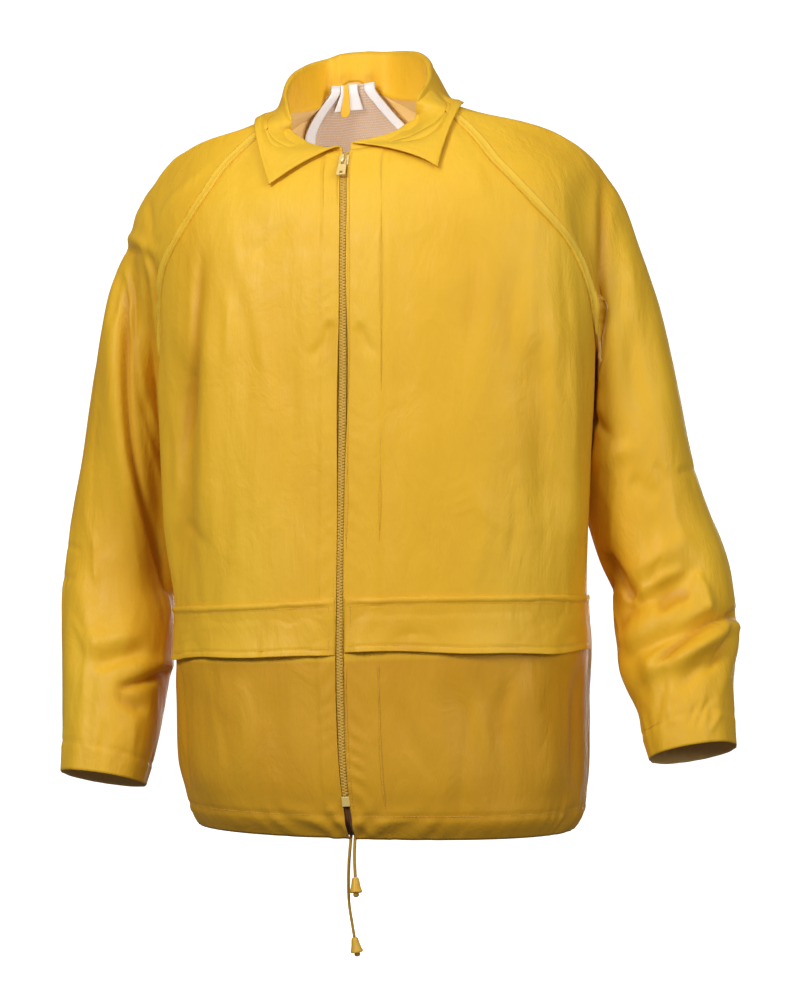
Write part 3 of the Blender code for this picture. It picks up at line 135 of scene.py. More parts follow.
def smooth(at, xs, ys):
    """A curve of cubic pieces through the points (xs, ys), with the slope at each taken from the
    parabola through its neighbours. It stays flat past both ends."""
    at = np.clip(np.asarray(at, float), xs[0], xs[-1])
    step, rise = np.diff(xs), np.diff(ys) / np.diff(xs)
    slope = np.empty(len(xs))
    slope[1:-1] = (rise[:-1] * step[1:] + rise[1:] * step[:-1]) / (step[:-1] + step[1:])
    slope[0], slope[-1] = rise[0], rise[-1]
    i = np.clip(np.searchsorted(xs, at) - 1, 0, len(xs) - 2)
    t = (at - xs[i]) / step[i]
    start = (1 + 2 * t) * (1 - t) ** 2 * ys[i] + t * (1 - t) ** 2 * step[i] * slope[i]
    end = t * t * (3 - 2 * t) * ys[i + 1] - t * t * (1 - t) * step[i] * slope[i + 1]
    return start + end


def ease(t):
    """0 below 0, 1 above 1, and a soft S between."""
    t = np.clip(t, 0, 1)
    return t * t * (3 - 2 * t)


def bump(t):
    """1 at 0, falling off to nothing on both sides like a bell."""
    return np.exp(-np.square(t))


def unit(v):
    return v / np.maximum(np.linalg.norm(v, axis=-1, keepdims=True), 1e-12)


def run_along(points, axis=0):
    """The length run along a grid's lines, from nothing at their start."""
    step = np.linalg.norm(np.diff(points, axis=axis), axis=-1)
    start = np.zeros_like(np.take(step, [0], axis=axis))
    return np.concatenate([start, np.cumsum(step, axis=axis)], axis=axis)


def between(at, xs, points):
    """Points read off straight lines between the given ones, which stand at xs."""
    return np.stack([np.interp(at, xs, points[:, k]) for k in range(points.shape[1])], axis=-1)


def along_line(points, at):
    """The points that lie those lengths along a line."""
    return between(at, run_along(points), points)


def square_to(v, axis):
    """v less its part along a unit axis."""
    return v - axis * (v * axis).sum(-1, keepdims=True)


def turned_to(v, way):
    """v, turned round where it points away from a direction."""
    return v * np.sign((v * way).sum(-1, keepdims=True) + 1e-9)


def paired(turn, way):
    return np.broadcast_arrays(np.asarray(turn, float), np.asarray(way, float))


def hermite(start, start_pull, end, end_pull, t):
    """The cubic from start to end that leaves and arrives with those pulls."""
    t = np.asarray(t, float)[..., None]
    return (
        (1 + 2 * t) * (1 - t) ** 2 * start
        + t * (1 - t) ** 2 * start_pull
        + t * t * (3 - 2 * t) * end
        - t * t * (1 - t) * end_pull
    )


def closed_up(grid):
    """A grid with its first column again after its last, as round a tube."""
    return np.concatenate([grid, grid[:, :1]], axis=1)


def corners(grid):
    """What a grid holds at the four corners of each of its faces, in order round the face."""
    return np.stack([grid[:-1, :-1], grid[:-1, 1:], grid[1:, 1:], grid[1:, :-1]], axis=2)


def numbers(rows, columns):
    return np.arange(rows * columns).reshape(rows, columns)


def grid_mesh(name, grid, closed=False, capped=False):
    """A mesh on a grid of points, rows by columns, with a UV map of the lengths along its middle
    column and row; closed joins the last column to the first, and capped shuts both ends too."""
    rows, columns = grid.shape[:2]
    number, whole = numbers(rows, columns), grid
    if closed:
        number, whole = closed_up(number), closed_up(grid)
    up, across = run_along(whole[:, whole.shape[1] // 2]), run_along(whole[rows // 2])
    uv = np.stack(np.broadcast_arrays(across[None, :], up[:, None]), axis=-1)
    faces, loops = corners(number).reshape(-1, 4), corners(uv).reshape(-1, 2)
    if capped:
        faces = faces.tolist() + [number[0, -2::-1].tolist(), number[-1, :-1].tolist()]
        loops = np.concatenate([loops, np.zeros((2 * columns, 2))])
    mesh = bpy.data.meshes.new(name)
    mesh.from_pydata(grid.reshape(-1, 3), [], faces)
    mesh.uv_layers.new(name="cloth").data.foreach_set("uv", loops.astype(np.float32).ravel())
    mesh.shade_smooth()
    return mesh


def new_piece(name, mesh, slot_name, *finishes, body="jacket"):
    """A finished piece at the origin, with its finishes, riding on a body."""
    for finish in finishes:
        mesh.materials.append(finish)
    piece = new_object(name, mesh)
    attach(piece, body)
    return piece


def cloth_piece(name, grid, thickness, slot_name, *finishes, closed=False, painted_shade=None):
    """A piece of cloth on a grid, which is its outer face. A second finish goes on the inner face.
    painted_shade, one number a point, is painted shade: how much deeper the colour is there."""
    piece = new_piece(name, grid_mesh(name, grid, closed), slot_name, *finishes)
    if painted_shade is not None:
        deep = piece.data.attributes.new("painted_shade", "FLOAT", "POINT")
        deep.data.foreach_set("value", np.ascontiguousarray(painted_shade, np.float32).ravel())
    wall = piece.modifiers.new("wall", "SOLIDIFY")
    wall.thickness, wall.offset = thickness, -1.0
    wall.material_offset, wall.material_offset_rim = len(finishes) - 1, 0
    print(name, "grid", grid.shape[:2])
    return piece


def node_cloth(node, grid, thickness, slot_name, *finishes, turn=1, closed=False, painted_shade=None, **cut):
    """The cloth in place of one of the frame's nodes. The cut, given as keywords, is not used. turn is -1
    where the grid's columns run the other way, so that its faces point out there too."""
    painted_shade = None if painted_shade is None else painted_shade[:, ::turn]
    piece = cloth_piece(f"{node}_cloth", grid[:, ::turn], thickness, slot_name, *finishes,
                        closed=closed, painted_shade=painted_shade)
    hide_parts(node)


# %% [markdown]
# ## Finishes
#
# The cloth is thin woven polyester with a coat of plastic on its face. From a step away it looks like satin:
# broad soft highlights, a faint unevenness of colour, and a fine crumple left from being folded up in its
# bag. Close up a plain weave shows through the coat. The inside is paler, because the coat is on the other
# face. Everything is procedural: Object coordinates carry the crumple and the colour's unevenness, a point
# attribute carries painted shade in folds and shaded places, and the UV map in metres carries the weave.

# %% Nodes for a finish
def start_finish(name, colour, roughness, **settings):
    """A material with one Principled shader, whose even values sit on its own sockets."""
    made = bpy.data.materials.new(name)
    made.use_nodes = True
    shader = made.node_tree.nodes["Principled BSDF"]
    shader.inputs["Base Color"].default_value = (*colour, 1.0)
    shader.inputs["Roughness"].default_value = roughness
    for socket, value in settings.items():
        shader.inputs[socket.replace("_", " ")].default_value = value
    made.diffuse_color = (*colour, 1.0)
    return made, shader


def add_node(made, kind, **settings):
    node = made.node_tree.nodes.new(kind)
    for name, value in settings.items():
        if name in node.inputs:
            node.inputs[name].default_value = value
        else:
            setattr(node, name, value)
    return node


def join(made, source, target):
    made.node_tree.links.new(source, target)


def mapped(made, where, **settings):
    """Texture coordinates through a Mapping node."""
    mapping = add_node(made, "ShaderNodeMapping", **settings)
    join(made, add_node(made, "ShaderNodeTexCoord").outputs[where], mapping.inputs["Vector"])
    return mapping.outputs["Vector"]


def noise(made, scale, detail=3.0, roughness=0.5, stretch=(1.0, 1.0, 1.0), distortion=0.0):
    """Noise on Object coordinates, which a Mapping node scales by stretch."""
    node = add_node(made, "ShaderNodeTexNoise", Scale=scale, Detail=detail, Roughness=roughness,
                    Distortion=distortion)
    join(made, mapped(made, "Object", Scale=stretch), node.inputs["Vector"])
    return node.outputs["Fac"]


def spread(made, value, low, high, to_low, to_high):
    """The value, moved from one range to another."""
    node = add_node(made, "ShaderNodeMapRange")
    for name, number in (("From Min", low), ("From Max", high), ("To Min", to_low), ("To Max", to_high)):
        node.inputs[name].default_value = number
    join(made, value, node.inputs["Value"])
    return node.outputs["Result"]


def mixed(made, amount, first, second):
    """Two colours mixed by an amount. Each is a colour or a socket."""
    node = add_node(made, "ShaderNodeMix", data_type="RGBA")
    join(made, amount, node.inputs["Factor"])
    for socket, colour in ((node.inputs[6], first), (node.inputs[7], second)):
        if isinstance(colour, tuple):
            socket.default_value = (*colour, 1.0)
        else:
            join(made, colour, socket)
    return node.outputs[2]


def maths(made, operation, first, second):
    node = add_node(made, "ShaderNodeMath", operation=operation)
    for socket, value in zip(node.inputs, (first, second)):
        if isinstance(value, (int, float)):
            socket.default_value = value
        else:
            join(made, value, socket)
    return node.outputs["Value"]


def relief(made, shader, *layers):
    """Bump nodes one on another. Each layer is (height, strength, distance in metres)."""
    before = None
    for height, strength, distance in layers:
        node = add_node(made, "ShaderNodeBump", Strength=strength, Distance=distance)
        join(made, height, node.inputs["Height"])
        if before is not None:
            join(made, before, node.inputs["Normal"])
        before = node.outputs["Normal"]
    join(made, before, shader.inputs["Normal"])


def attribute(made, name):
    return add_node(made, "ShaderNodeAttribute", attribute_name=name).outputs["Fac"]


def waves(made, place, direction, scale):
    node = add_node(made, "ShaderNodeTexWave", bands_direction=direction, Scale=scale)
    join(made, place, node.inputs["Vector"])
    return node.outputs["Fac"]


def threads(made, pitch):
    """Woven threads: two sets of waves a pitch apart, along and across the UV map in metres."""
    place = add_node(made, "ShaderNodeTexCoord").outputs["UV"]
    return maths(made, "MAXIMUM", *(waves(made, place, way, 0.314 / pitch) for way in "XY"))


# %% [markdown]
# The yellow isn't even: the shoulders are a lemon yellow and the folds of the lower jacket go to a brownish
# gold. Two slow noises mix three tones of the same yellow at random, and a point attribute adds painted
# shade: the deep colour in the troughs of folds, in shaded places and low on the jacket, and less of it on
# ridges as painted highlight.

# %% Coated cloth
YELLOW = (0.840, 0.460, 0.018)
YELLOW_LIGHT = (0.870, 0.525, 0.030)
# The deep colour is both a random deeper patch of the cloth and the colour of the painted shade.
YELLOW_DEEP = (0.590, 0.255, 0.006)
INSIDE_TONES = ((0.840, 0.530, 0.160), (0.86, 0.58, 0.24), (0.72, 0.38, 0.06))
TAPE_END_SHADE = (0.16, 0.060, 0.012)  # painted shade: the tapes are painted this dark brown below the zip's end, for the shadowed gap between the fronts
WEAVE_PITCH = 0.00055


def coated_cloth(name, tones, gloss=0.52):
    """Coated polyester in three tones of its colour. The deep one is mixed in at random and as painted
    shade, by a point attribute.
    """
    plain, light, deep = tones
    made, shader = start_finish(name, plain, gloss, Sheen_Weight=0.02, Sheen_Roughness=0.4,
                                Specular_IOR_Level=0.34)
    slow = spread(made, noise(made, 5.0, 2.0, stretch=(1.0, 1.0, 0.45)), 0.35, 0.65, 0.0, 1.0)
    patchy = spread(made, noise(made, 22.0, 4.0, stretch=(1.0, 1.0, 0.6)), 0.44, 0.80, 0.0, 0.16)
    # A point attribute adds painted shade: it pushes the colour to the deep one in troughs and shaded
    # places.
    amount = maths(made, "ADD", patchy, attribute(made, "painted_shade"))
    amount.node.use_clamp = True
    join(made, mixed(made, amount, mixed(made, slow, plain, light), deep), shader.inputs["Base Color"])
    rough = spread(made, noise(made, 60.0, 4.0), 0.3, 0.7, gloss - 0.05, gloss + 0.09)
    join(made, rough, shader.inputs["Roughness"])
    crumple = noise(made, 30.0, 5.0, 0.55, stretch=(1.0, 1.0, 0.50), distortion=0.8)
    fine = noise(made, 150.0, 3.0, distortion=0.5)
    streaks = noise(made, 60.0, 4.0, 0.5, stretch=(1.0, 1.0, 0.10), distortion=0.3)
    relief(made, shader, (crumple, 0.36, 0.0060), (streaks, 0.30, 0.0035), (fine, 0.18, 0.0010),
           (threads(made, WEAVE_PITCH), 0.10, 0.0001))
    return made


coated = coated_cloth("coated_cloth", (YELLOW, YELLOW_LIGHT, YELLOW_DEEP))
coated_inside = coated_cloth("coated_cloth_inside", INSIDE_TONES, 0.6)
coated_double = coated_cloth("coated_cloth_double", (YELLOW_LIGHT, (0.89, 0.58, 0.05), YELLOW))
print("cloth finishes made")

# %% [markdown]
# The other finishes are small: a woven zip tape, moulded teeth, cream paint on the slider, a knitted
# mesh, white cotton tape, sewing thread, a braided cord and moulded ends. The mesh's holes aren't cut:
# its material is clear there, by its alpha.

# %% Other finishes
def woven_tape(name, colour, pitch, dark):
    made, shader = start_finish(name, colour, 0.75, Sheen_Weight=0.2)
    fleck = spread(made, noise(made, 900.0, 2.0), 0.3, 0.7, 0.0, 0.6)
    # Painted shade: where the point attribute is set, the tape is painted dark brown for the shadowed gap
    # below the zip's end.
    weave_and_shade = mixed(made, attribute(made, "painted_shade"), mixed(made, fleck, colour, dark), TAPE_END_SHADE)
    join(made, weave_and_shade, shader.inputs["Base Color"])
    relief(made, shader, (threads(made, pitch), 0.5, 0.0002), (noise(made, 160.0), 0.2, 0.0005))
    return made


def moulded(name, colour, roughness, worn, scale=300.0, **settings):
    """Moulded or painted stuff: a little lighter and rougher where it has been rubbed."""
    made, shader = start_finish(name, colour, roughness, **settings)
    rub = spread(made, noise(made, scale, 4.0), 0.42, 0.70, 0.0, 0.6)
    join(made, mixed(made, rub, colour, worn), shader.inputs["Base Color"])
    rough = spread(made, noise(made, scale * 2, 3.0), 0.3, 0.7, roughness - 0.06, roughness + 0.1)
    join(made, rough, shader.inputs["Roughness"])
    relief(made, shader, (noise(made, scale * 3, 2.0), 0.12, 0.0001))
    return made


def vectors(made, operation, first, second=(0.0, 0.0, 0.0), output="Vector"):
    node = add_node(made, "ShaderNodeVectorMath", operation=operation)
    join(made, first, node.inputs[0])
    node.inputs[1].default_value = second
    return node.outputs[output]


def knitted_mesh(name, colour, shade, pitch, hole):
    """A net of round holes in staggered rows, a pitch apart: the distance to the nearest hole's
    centre in either of two shifted grids, cut off at the hole's size."""
    made, shader = start_finish(name, colour, 0.8, Sheen_Weight=0.3)
    nearest = []
    for shift in (0.0, 0.5):
        place = mapped(made, "UV", Scale=(1 / pitch, 0.58 / pitch, 1.0), Location=(shift, shift, 0.0))
        centred = vectors(made, "SUBTRACT", vectors(made, "FRACTION", place), (0.5, 0.5, 0.0))
        sized = vectors(made, "MULTIPLY", centred, (1.0, 1.72, 0.0))
        nearest.append(vectors(made, "LENGTH", sized, output="Value"))
    net = spread(made, maths(made, "MINIMUM", *nearest), hole, hole + 0.08, 0.0, 1.0)
    join(made, net, shader.inputs["Alpha"])
    join(made, mixed(made, noise(made, 400.0), colour, shade), shader.inputs["Base Color"])
    relief(made, shader, (net, 0.6, 0.0004))
    return made


def braided(name, colour, dark, turns, strands):
    """A braid: waves that run round the cord both ways at a slant on its UV map."""
    made, shader = start_finish(name, colour, 0.7, Sheen_Weight=0.2)
    braid = maths(made, "MULTIPLY", *(
        waves(made, mapped(made, "UV", Scale=(strands, lean * turns, 1.0)), "DIAGONAL", 1.0)
        for lean in (1.0, -1.0)))
    join(made, mixed(made, braid, dark, colour), shader.inputs["Base Color"])
    relief(made, shader, (braid, 0.8, 0.0004))
    return made


tape_finish = woven_tape("zip_tape", (0.74, 0.45, 0.045), 0.0007, (0.62, 0.34, 0.03))
teeth_finish = moulded("zip_teeth", (0.60, 0.35, 0.04), 0.50, (0.70, 0.44, 0.08))
metal_finish = moulded("painted_metal", (0.80, 0.57, 0.17), 0.34, (0.86, 0.68, 0.32), 500.0, Coat_Weight=0.3)
mesh_finish = knitted_mesh("mesh_lining", (0.86, 0.68, 0.54), (0.78, 0.58, 0.42), 0.0036, 0.27)
white_finish = woven_tape("white_tape", (0.86, 0.85, 0.86), 0.0008, (0.74, 0.73, 0.75))
thread_finish = moulded("thread", (0.76, 0.42, 0.03), 0.6, (0.82, 0.50, 0.06), 900.0, Sheen_Weight=0.3)
white_thread = moulded("white_thread", (0.86, 0.84, 0.84), 0.6, (0.92, 0.90, 0.90), 900.0)
cord_finish = braided("drawcord", (0.74, 0.42, 0.03), (0.50, 0.26, 0.015), 900.0, 120.0)
end_finish = moulded("cord_ends", (0.78, 0.43, 0.025), 0.42, (0.84, 0.52, 0.06), 200.0)
print("finishes:", len(bpy.data.materials))

# %% [markdown]
# ## The drawcord's two ends
#
# One soft cord of 3 mm runs round in the hem, and its two ends come out at the centre front. Each ends
# in a small moulded bell, with a knot under it that keeps the bell on. A cord is a round tube along a
# smooth curve: a circle is carried along the path, square to its direction at each point.

# %% Cords and their ends
CORD_DIAMETER = 0.0032
HEM_ZIP_X = 0.011  # the zip's line at the hem
CORD_ROUTES = {
    "long": (
        (-0.0021, -0.1365, -0.730), (-0.0026, -0.1385, -0.741), (-0.0040, -0.1395, -0.760),
        (-0.0048, -0.1392, -0.781), (-0.0040, -0.1390, -0.805), (-0.0010, -0.1390, -0.824),
        (0.0012, -0.1388, -0.8370),
    ),
    "short": (
        (0.0021, -0.1365, -0.730), (0.0020, -0.1395, -0.741), (0.0026, -0.1440, -0.757),
        (0.0044, -0.1478, -0.7760),
    ),
}
# The bell and the knot under it: radius and how far down.
BELL = (
    (0.0006, 0.0000), (0.0020, 0.0001), (0.0028, 0.0006), (0.0033, 0.0020), (0.0037, 0.0046),
    (0.0043, 0.0080), (0.0052, 0.0116), (0.0059, 0.0136), (0.0059, 0.0148), (0.0053, 0.0154),
    (0.0034, 0.0154), (0.0030, 0.0148), (0.0006, 0.0147),
)
KNOT = (
    (0.0002, 0.0146), (0.0018, 0.0150), (0.0027, 0.0164), (0.0029, 0.0178), (0.0022, 0.0192),
    (0.0002, 0.0198),
)


def tube_grid(path, radius, around):
    """A circle carried along a path: each point lies radius out at its angle round the path."""
    way = unit(np.gradient(path, axis=0))
    side = unit(np.cross(way, np.array([0.0, 1.0, 0.0])))
    other = np.cross(side, way)
    angle = np.linspace(0, 2 * np.pi, around, endpoint=False)
    ring = np.cos(angle)[None, :, None] * side[:, None] + np.sin(angle)[None, :, None] * other[:, None]
    return path[:, None] + radius * ring


def turned_grid(profile, top, way, around, flat=0.0, steps=40):
    """A profile of (radius, how far down) turned about the line from top along way; flat squares it."""
    profile = np.array(profile)
    run = run_along(profile)
    at = np.linspace(0, run[-1], steps)
    radius, down = (np.interp(at, run, profile[:, k]) for k in (0, 1))
    angle = np.linspace(0, 2 * np.pi, around, endpoint=False)
    side = unit(np.cross(way, np.array([0.0, 1.0, 0.0])))
    other = np.cross(side, way)
    squared = 1 + flat * np.cos(2 * angle)
    ring = (np.cos(angle) * squared)[:, None] * side + (np.sin(angle) * (2 - squared))[:, None] * other
    return top + way * down[:, None, None] + radius[:, None, None] * ring[None]


def round_piece(name, grid, slot_name, finish):
    """A closed round piece. Its columns are turned over, so that its faces point out."""
    mesh = grid_mesh(name, grid[:, ::-1], closed=True, capped=True)
    return new_piece(name, mesh, slot_name, finish)


def add_cord(hand):
    points = np.array(CORD_ROUTES[hand]) + np.array([HEM_ZIP_X, 0.0, 0.0])
    run = run_along(points)
    at = np.linspace(0, run[-1], 24 if hand == "short" else 48)
    path = np.stack([smooth(at, run, points[:, k]) for k in range(3)], axis=1)
    way = unit(path[-1] - path[-2])
    top = path[-1] + way * 0.0003
    cord_grid = tube_grid(path, CORD_DIAMETER / 2, 14)
    cord = round_piece(f"cord_{hand}_braid", cord_grid, "drawcord", cord_finish)
    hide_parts(f"cord_{hand}")
    bell_grid = turned_grid(BELL, top, way, 28, 0.10)
    bell = round_piece(f"cord_end_{hand}", bell_grid, "cord_ends", end_finish)
    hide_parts(f"toggle_{hand}")
    knot_grid = turned_grid(KNOT, top, way, 18, 0.12, 16)
    knot = round_piece(f"cord_knot_{hand}", knot_grid, "drawcord", cord_finish)
    print("cord", hand, "is", round(float(run_along(path)[-1]), 4), "m long")


for hand in ("long", "short"):
    add_cord(hand)

# %% [markdown]
# ## The body's surface
#
# The body hangs from the shoulders as a wide, slightly boxy tube. At each height it is a
# superellipse, |x|^2.3 + |y|^2.3 = 1, whose half width, front, back and middle come from one short
# table, so every panel of the body can ask for its points by an angle and a height. The arms press its
# sides in, and long soft folds run down from the shoulders and armholes.

# %% Sizes of the body
HEM_Z, UNDERARM_Z = -0.739, -0.270
FRONT_NECK_Z, FRONT_SEAM_TOP_Z = -0.047, -0.012
BACK_NECK_Z, BACK_SEAM_TOP_Z = 0.055, 0.040
SIDE_SEAM_DEG = 98.0
SQUARENESS = 2.3
ZIP_OPENING = 0.0080
CLOTH = 0.0012
NECK_CENTRE_X, NECK_TURN_DEG, SPINE_SHIFT = -0.010, 8.0, 0.018
NECK_ARC_PULL = 0.118

BODY_COLUMNS = ("z", "half", "front", "back", "side", "shift", "zip")
BODY = (
    (-0.739, 0.197, -0.139, 0.133, -0.012, 0.015, 0.011),
    (-0.724, 0.205, -0.150, 0.144, -0.014, 0.016, 0.010),
    (-0.697, 0.210, -0.157, 0.150, -0.016, 0.014, 0.008),
    (-0.600, 0.214, -0.160, 0.153, -0.018, 0.011, 0.003),
    (-0.500, 0.218, -0.159, 0.153, -0.022, 0.012, 0.002),
    (-0.400, 0.224, -0.157, 0.152, -0.030, 0.012, 0.003),
    (-0.300, 0.228, -0.156, 0.152, -0.036, 0.013, 0.004),
    (-0.220, 0.230, -0.155, 0.153, -0.036, 0.012, 0.004),
    (-0.170, 0.232, -0.152, 0.153, -0.030, 0.010, 0.003),
    (-0.120, 0.236, -0.144, 0.151, -0.020, 0.007, 0.002),
    (-0.076, 0.236, -0.128, 0.143, -0.008, 0.002, -0.002),
    (-0.047, 0.222, -0.108, 0.133, 0.000, -0.004, -0.007),
    (-0.010, 0.170, -0.086, 0.112, 0.005, -0.010, -0.010),
    (0.020, 0.108, -0.072, 0.094, 0.008, -0.014, -0.014),
    (0.046, 0.060, -0.062, 0.076, 0.010, -0.016, -0.016),
)

# The raglan seams from the underarm up to the collar seam: degrees round from the centre front.
SEAM_COLUMNS = ("z", "front", "back")
SEAM = (
    (-0.270, 100.0, 100.0),
    (-0.262, 94.0, 105.0),
    (-0.240, 86.0, 110.0),
    (-0.200, 77.0, 120.0),
    (-0.160, 65.0, 134.0),
    (-0.120, 49.0, 146.5),
    (-0.080, 37.0, 153.5),
    (-0.045, 31.5, 158.5),
    (-0.012, 28.5, 160.0),
    (0.040, 28.5, 163.0),
)

# Main folds: start and end (degrees round, height), width, and depth, above 0 for a ridge.
BODY_FOLDS = (
    (-75.0, -0.230, -70.0, -0.480, 0.020, 0.0060),
    (-52.0, -0.250, -56.0, -0.470, 0.026, -0.0090),
    (-38.0, -0.200, -40.0, -0.440, 0.030, 0.0040),
    (66.0, -0.240, 72.0, -0.470, 0.022, 0.0050),
    (50.0, -0.260, 60.0, -0.430, 0.026, -0.0050),
    (22.0, -0.120, 14.0, -0.330, 0.034, -0.0035),
    (-20.0, -0.110, -12.0, -0.300, 0.034, -0.0030),
    (48.0, -0.575, 66.0, -0.700, 0.024, 0.0045),
    (30.0, -0.580, 44.0, -0.710, 0.026, -0.0040),
    (-34.0, -0.580, -46.0, -0.705, 0.026, 0.0040),
    (-60.0, -0.570, -66.0, -0.700, 0.022, -0.0040),
    (84.0, -0.570, 80.0, -0.700, 0.020, -0.0045),
    (-86.0, -0.560, -82.0, -0.700, 0.020, 0.0040),
    (128.0, -0.220, 118.0, -0.600, 0.026, -0.0080),
    (144.0, -0.180, 138.0, -0.560, 0.030, 0.0060),
    (162.0, -0.240, 158.0, -0.660, 0.032, -0.0055),
    (180.0, -0.300, 178.0, -0.700, 0.030, 0.0045),
    (-163.0, -0.220, -160.0, -0.620, 0.032, -0.0060),
    (-146.0, -0.200, -141.0, -0.580, 0.030, 0.0060),
    (-127.0, -0.230, -119.0, -0.610, 0.026, -0.0075),
    (112.0, -0.400, 108.0, -0.690, 0.024, 0.0055),
    (-111.0, -0.420, -107.0, -0.690, 0.024, 0.0050),
)
DEG_TO_M = 0.0033  # of the body's girth to one degree
BODY_Z = column(BODY, BODY_COLUMNS, "z")
SEAM_Z = column(SEAM, SEAM_COLUMNS, "z")


# %% The body as a function of angle and height
def body_column(z, name):
    return smooth(z, BODY_Z, column(BODY, BODY_COLUMNS, name))


def tilt(x, z):
    """The body hangs a little higher on the wearer's left: a soft step across, growing from the hem."""
    amount = smooth(z, np.array([HEM_Z, -0.50, -0.15, 0.05]), np.array([0.0, 0.055, 0.070, 0.095]))
    return amount * 0.16 * np.tanh(x / 0.16)


def turned(x, y, deg):
    """Points turned about the upright line through the neck's centre."""
    c, s = np.cos(np.radians(deg)), np.sin(np.radians(deg))
    away = x - NECK_CENTRE_X
    return NECK_CENTRE_X + away * c - y * s, away * s + y * c


def side_press(y, z):
    """How far the arms press in the body's sides: a bell along Y, between the waist and underarm."""
    return 0.034 * bump((y - 0.045) / 0.050) * ease((z + 0.56) / 0.16) * ease((-0.10 - z) / 0.12)


def soft_line(u, v, u0, v0, u1, v1, width, depth, sharp=1.0):
    """A soft trough or ridge along a line: a bell across it, eased off at both ends."""
    du, dv = u1 - u0, v1 - v0
    length = math.hypot(du, dv)
    along = ((u - u0) * du + (v - v0) * dv) / length**2
    off = ((u - u0) * dv - (v - v0) * du) / length
    fade = ease((along + 0.12) / 0.34) * ease((1.12 - along) / 0.34)
    return depth * bump(off / np.where(off > 0, width * sharp, width)) * fade


def body_folds(deg, z):
    """How far the main folds push the body's surface out: the sum of its soft lines."""
    push = np.zeros(np.broadcast(deg, z).shape)
    for deg0, z0, deg1, z1, width, depth in BODY_FOLDS:
        away = (deg - deg0 + 180.0) % 360.0 - 180.0
        push = push + soft_line(away * DEG_TO_M, z, 0.0, z0, (deg1 - deg0) * DEG_TO_M, z1, width, depth)
    return push


def body(deg, z):
    """The body's surface: at each height a superellipse, with sin and cos of the angle to the power
    2 / squareness, plus its folds along the outward direction, turned at the neck and tilted."""
    deg, z = np.broadcast_arrays(np.asarray(deg, float), np.asarray(z, float))
    s, c = np.sin(np.radians(deg)), np.cos(np.radians(deg))
    across = np.sign(s) * np.abs(s) ** (2 / SQUARENESS)
    along = np.abs(c) ** (2 / SQUARENESS)
    side = body_column(z, "side")
    centre = np.where(c >= 0, body_column(z, "front"), body_column(z, "back"))
    y = side + (centre - side) * along
    out = (body_column(z, "half") - side_press(y, z)) * across
    push = body_folds(deg, z)
    middle = body_column(z, "zip") - np.where(c < 0, SPINE_SHIFT * ease((z + 0.20) / 0.20), 0.0)
    x = middle * (1 - np.abs(across)) + body_column(z, "shift") * np.abs(across) + out + push * s
    y = y - push * c
    x, y = turned(x, y, NECK_TURN_DEG * ease((z + 0.075) / 0.09))
    return np.stack([x, y, z + tilt(x, z)], axis=-1)


def body_side(hand, y, z):
    """X of the body's side on one hand (+1 the wearer's left) at a place along Y, folds apart."""
    side = body_column(z, "side")
    centre = np.where(y < side, body_column(z, "front"), body_column(z, "back"))
    along = np.clip((y - side) / (centre - side), 0, 1)
    across = (1 - along**SQUARENESS) ** (1 / SQUARENESS)
    out = (body_column(z, "half") - side_press(y, z)) * across
    return body_column(z, "zip") * (1 - across) + body_column(z, "shift") * across + hand * out


def deg_of(offset, z):
    """The angle round the body at a distance along X from its centre line."""
    share = np.abs(offset) / body_column(z, "half")
    return np.sign(offset) * np.degrees(np.arcsin(share ** (SQUARENESS / 2)))


def body_normal(deg, z):
    """Outward normal of the body: square to its slopes both ways."""
    round_it = body(deg + 0.4, z) - body(deg - 0.4, z)
    return unit(np.cross(round_it, body(deg, z + 0.0015) - body(deg, z - 0.0015)))


def off_body(deg, z, height):
    """Points that high above the body, or inside it where the height is below 0."""
    return body(deg, z) + body_normal(deg, z) * np.asarray(height + 0 * deg)[..., None]


def seam_deg(z, which):
    return smooth(z, SEAM_Z, column(SEAM, SEAM_COLUMNS, which))


SEAM_TOP = {"front": FRONT_SEAM_TOP_Z, "back": BACK_SEAM_TOP_Z}


def seam_height(rise, which):
    """Height on the raglan seam, for rise from 0 at the underarm to 1 at the collar seam."""
    return UNDERARM_Z + (SEAM_TOP[which] - UNDERARM_Z) * rise**1.2


def side_deg(z):
    return SIDE_SEAM_DEG + 2.0 * ease((z + 0.45) / 0.18)


print("chest round the body:", round(float(run_along(body(np.linspace(0, 360, 361), -0.3))[-1]), 3), "m")

# %% [markdown]
# ## Creases where the photo shows them
#
# Cloth is recognised by its creases, so the ones that show are listed: each is a path in the photo's frame,
# a width, a depth, and how much narrower its far side is, which makes a soft slope on one side and a steep
# one on the other, as a real fold has. A crease works on whatever faces the camera there. Small crumples are
# short soft lines at seeded random places, all round.

# %% Creases and crumples
def beside_path(x, y, path):
    """Distance of points from a path in the photo's plane, with its sign (above 0 on the right as it
    runs), and the share of the path at the nearest place: the least over the path's short pieces."""
    path = np.array(path, float)
    run = run_along(path)
    at = np.linspace(0, run[-1], 20)
    px, py = (smooth(at, run, path[:, k]) for k in (0, 1))
    dx, dy = np.diff(px), np.diff(py)
    rx, ry = x[..., None] - px[:-1], y[..., None] - py[:-1]
    t = np.clip((rx * dx + ry * dy) / (dx**2 + dy**2), 0, 1)
    ox, oy = rx - t * dx, ry - t * dy
    away = np.hypot(ox, oy)
    best = away.argmin(axis=-1)[..., None]
    pick = lambda values: np.take_along_axis(values, best, axis=-1)[..., 0]
    sign = np.sign(pick(ox * -dy + oy * dx) + 1e-12)
    return sign * pick(away), (best[..., 0] + pick(t)) / len(dx)


def faces_camera(normals):
    return ease((normals @ TO_CAMERA + 0.10) / 0.35)


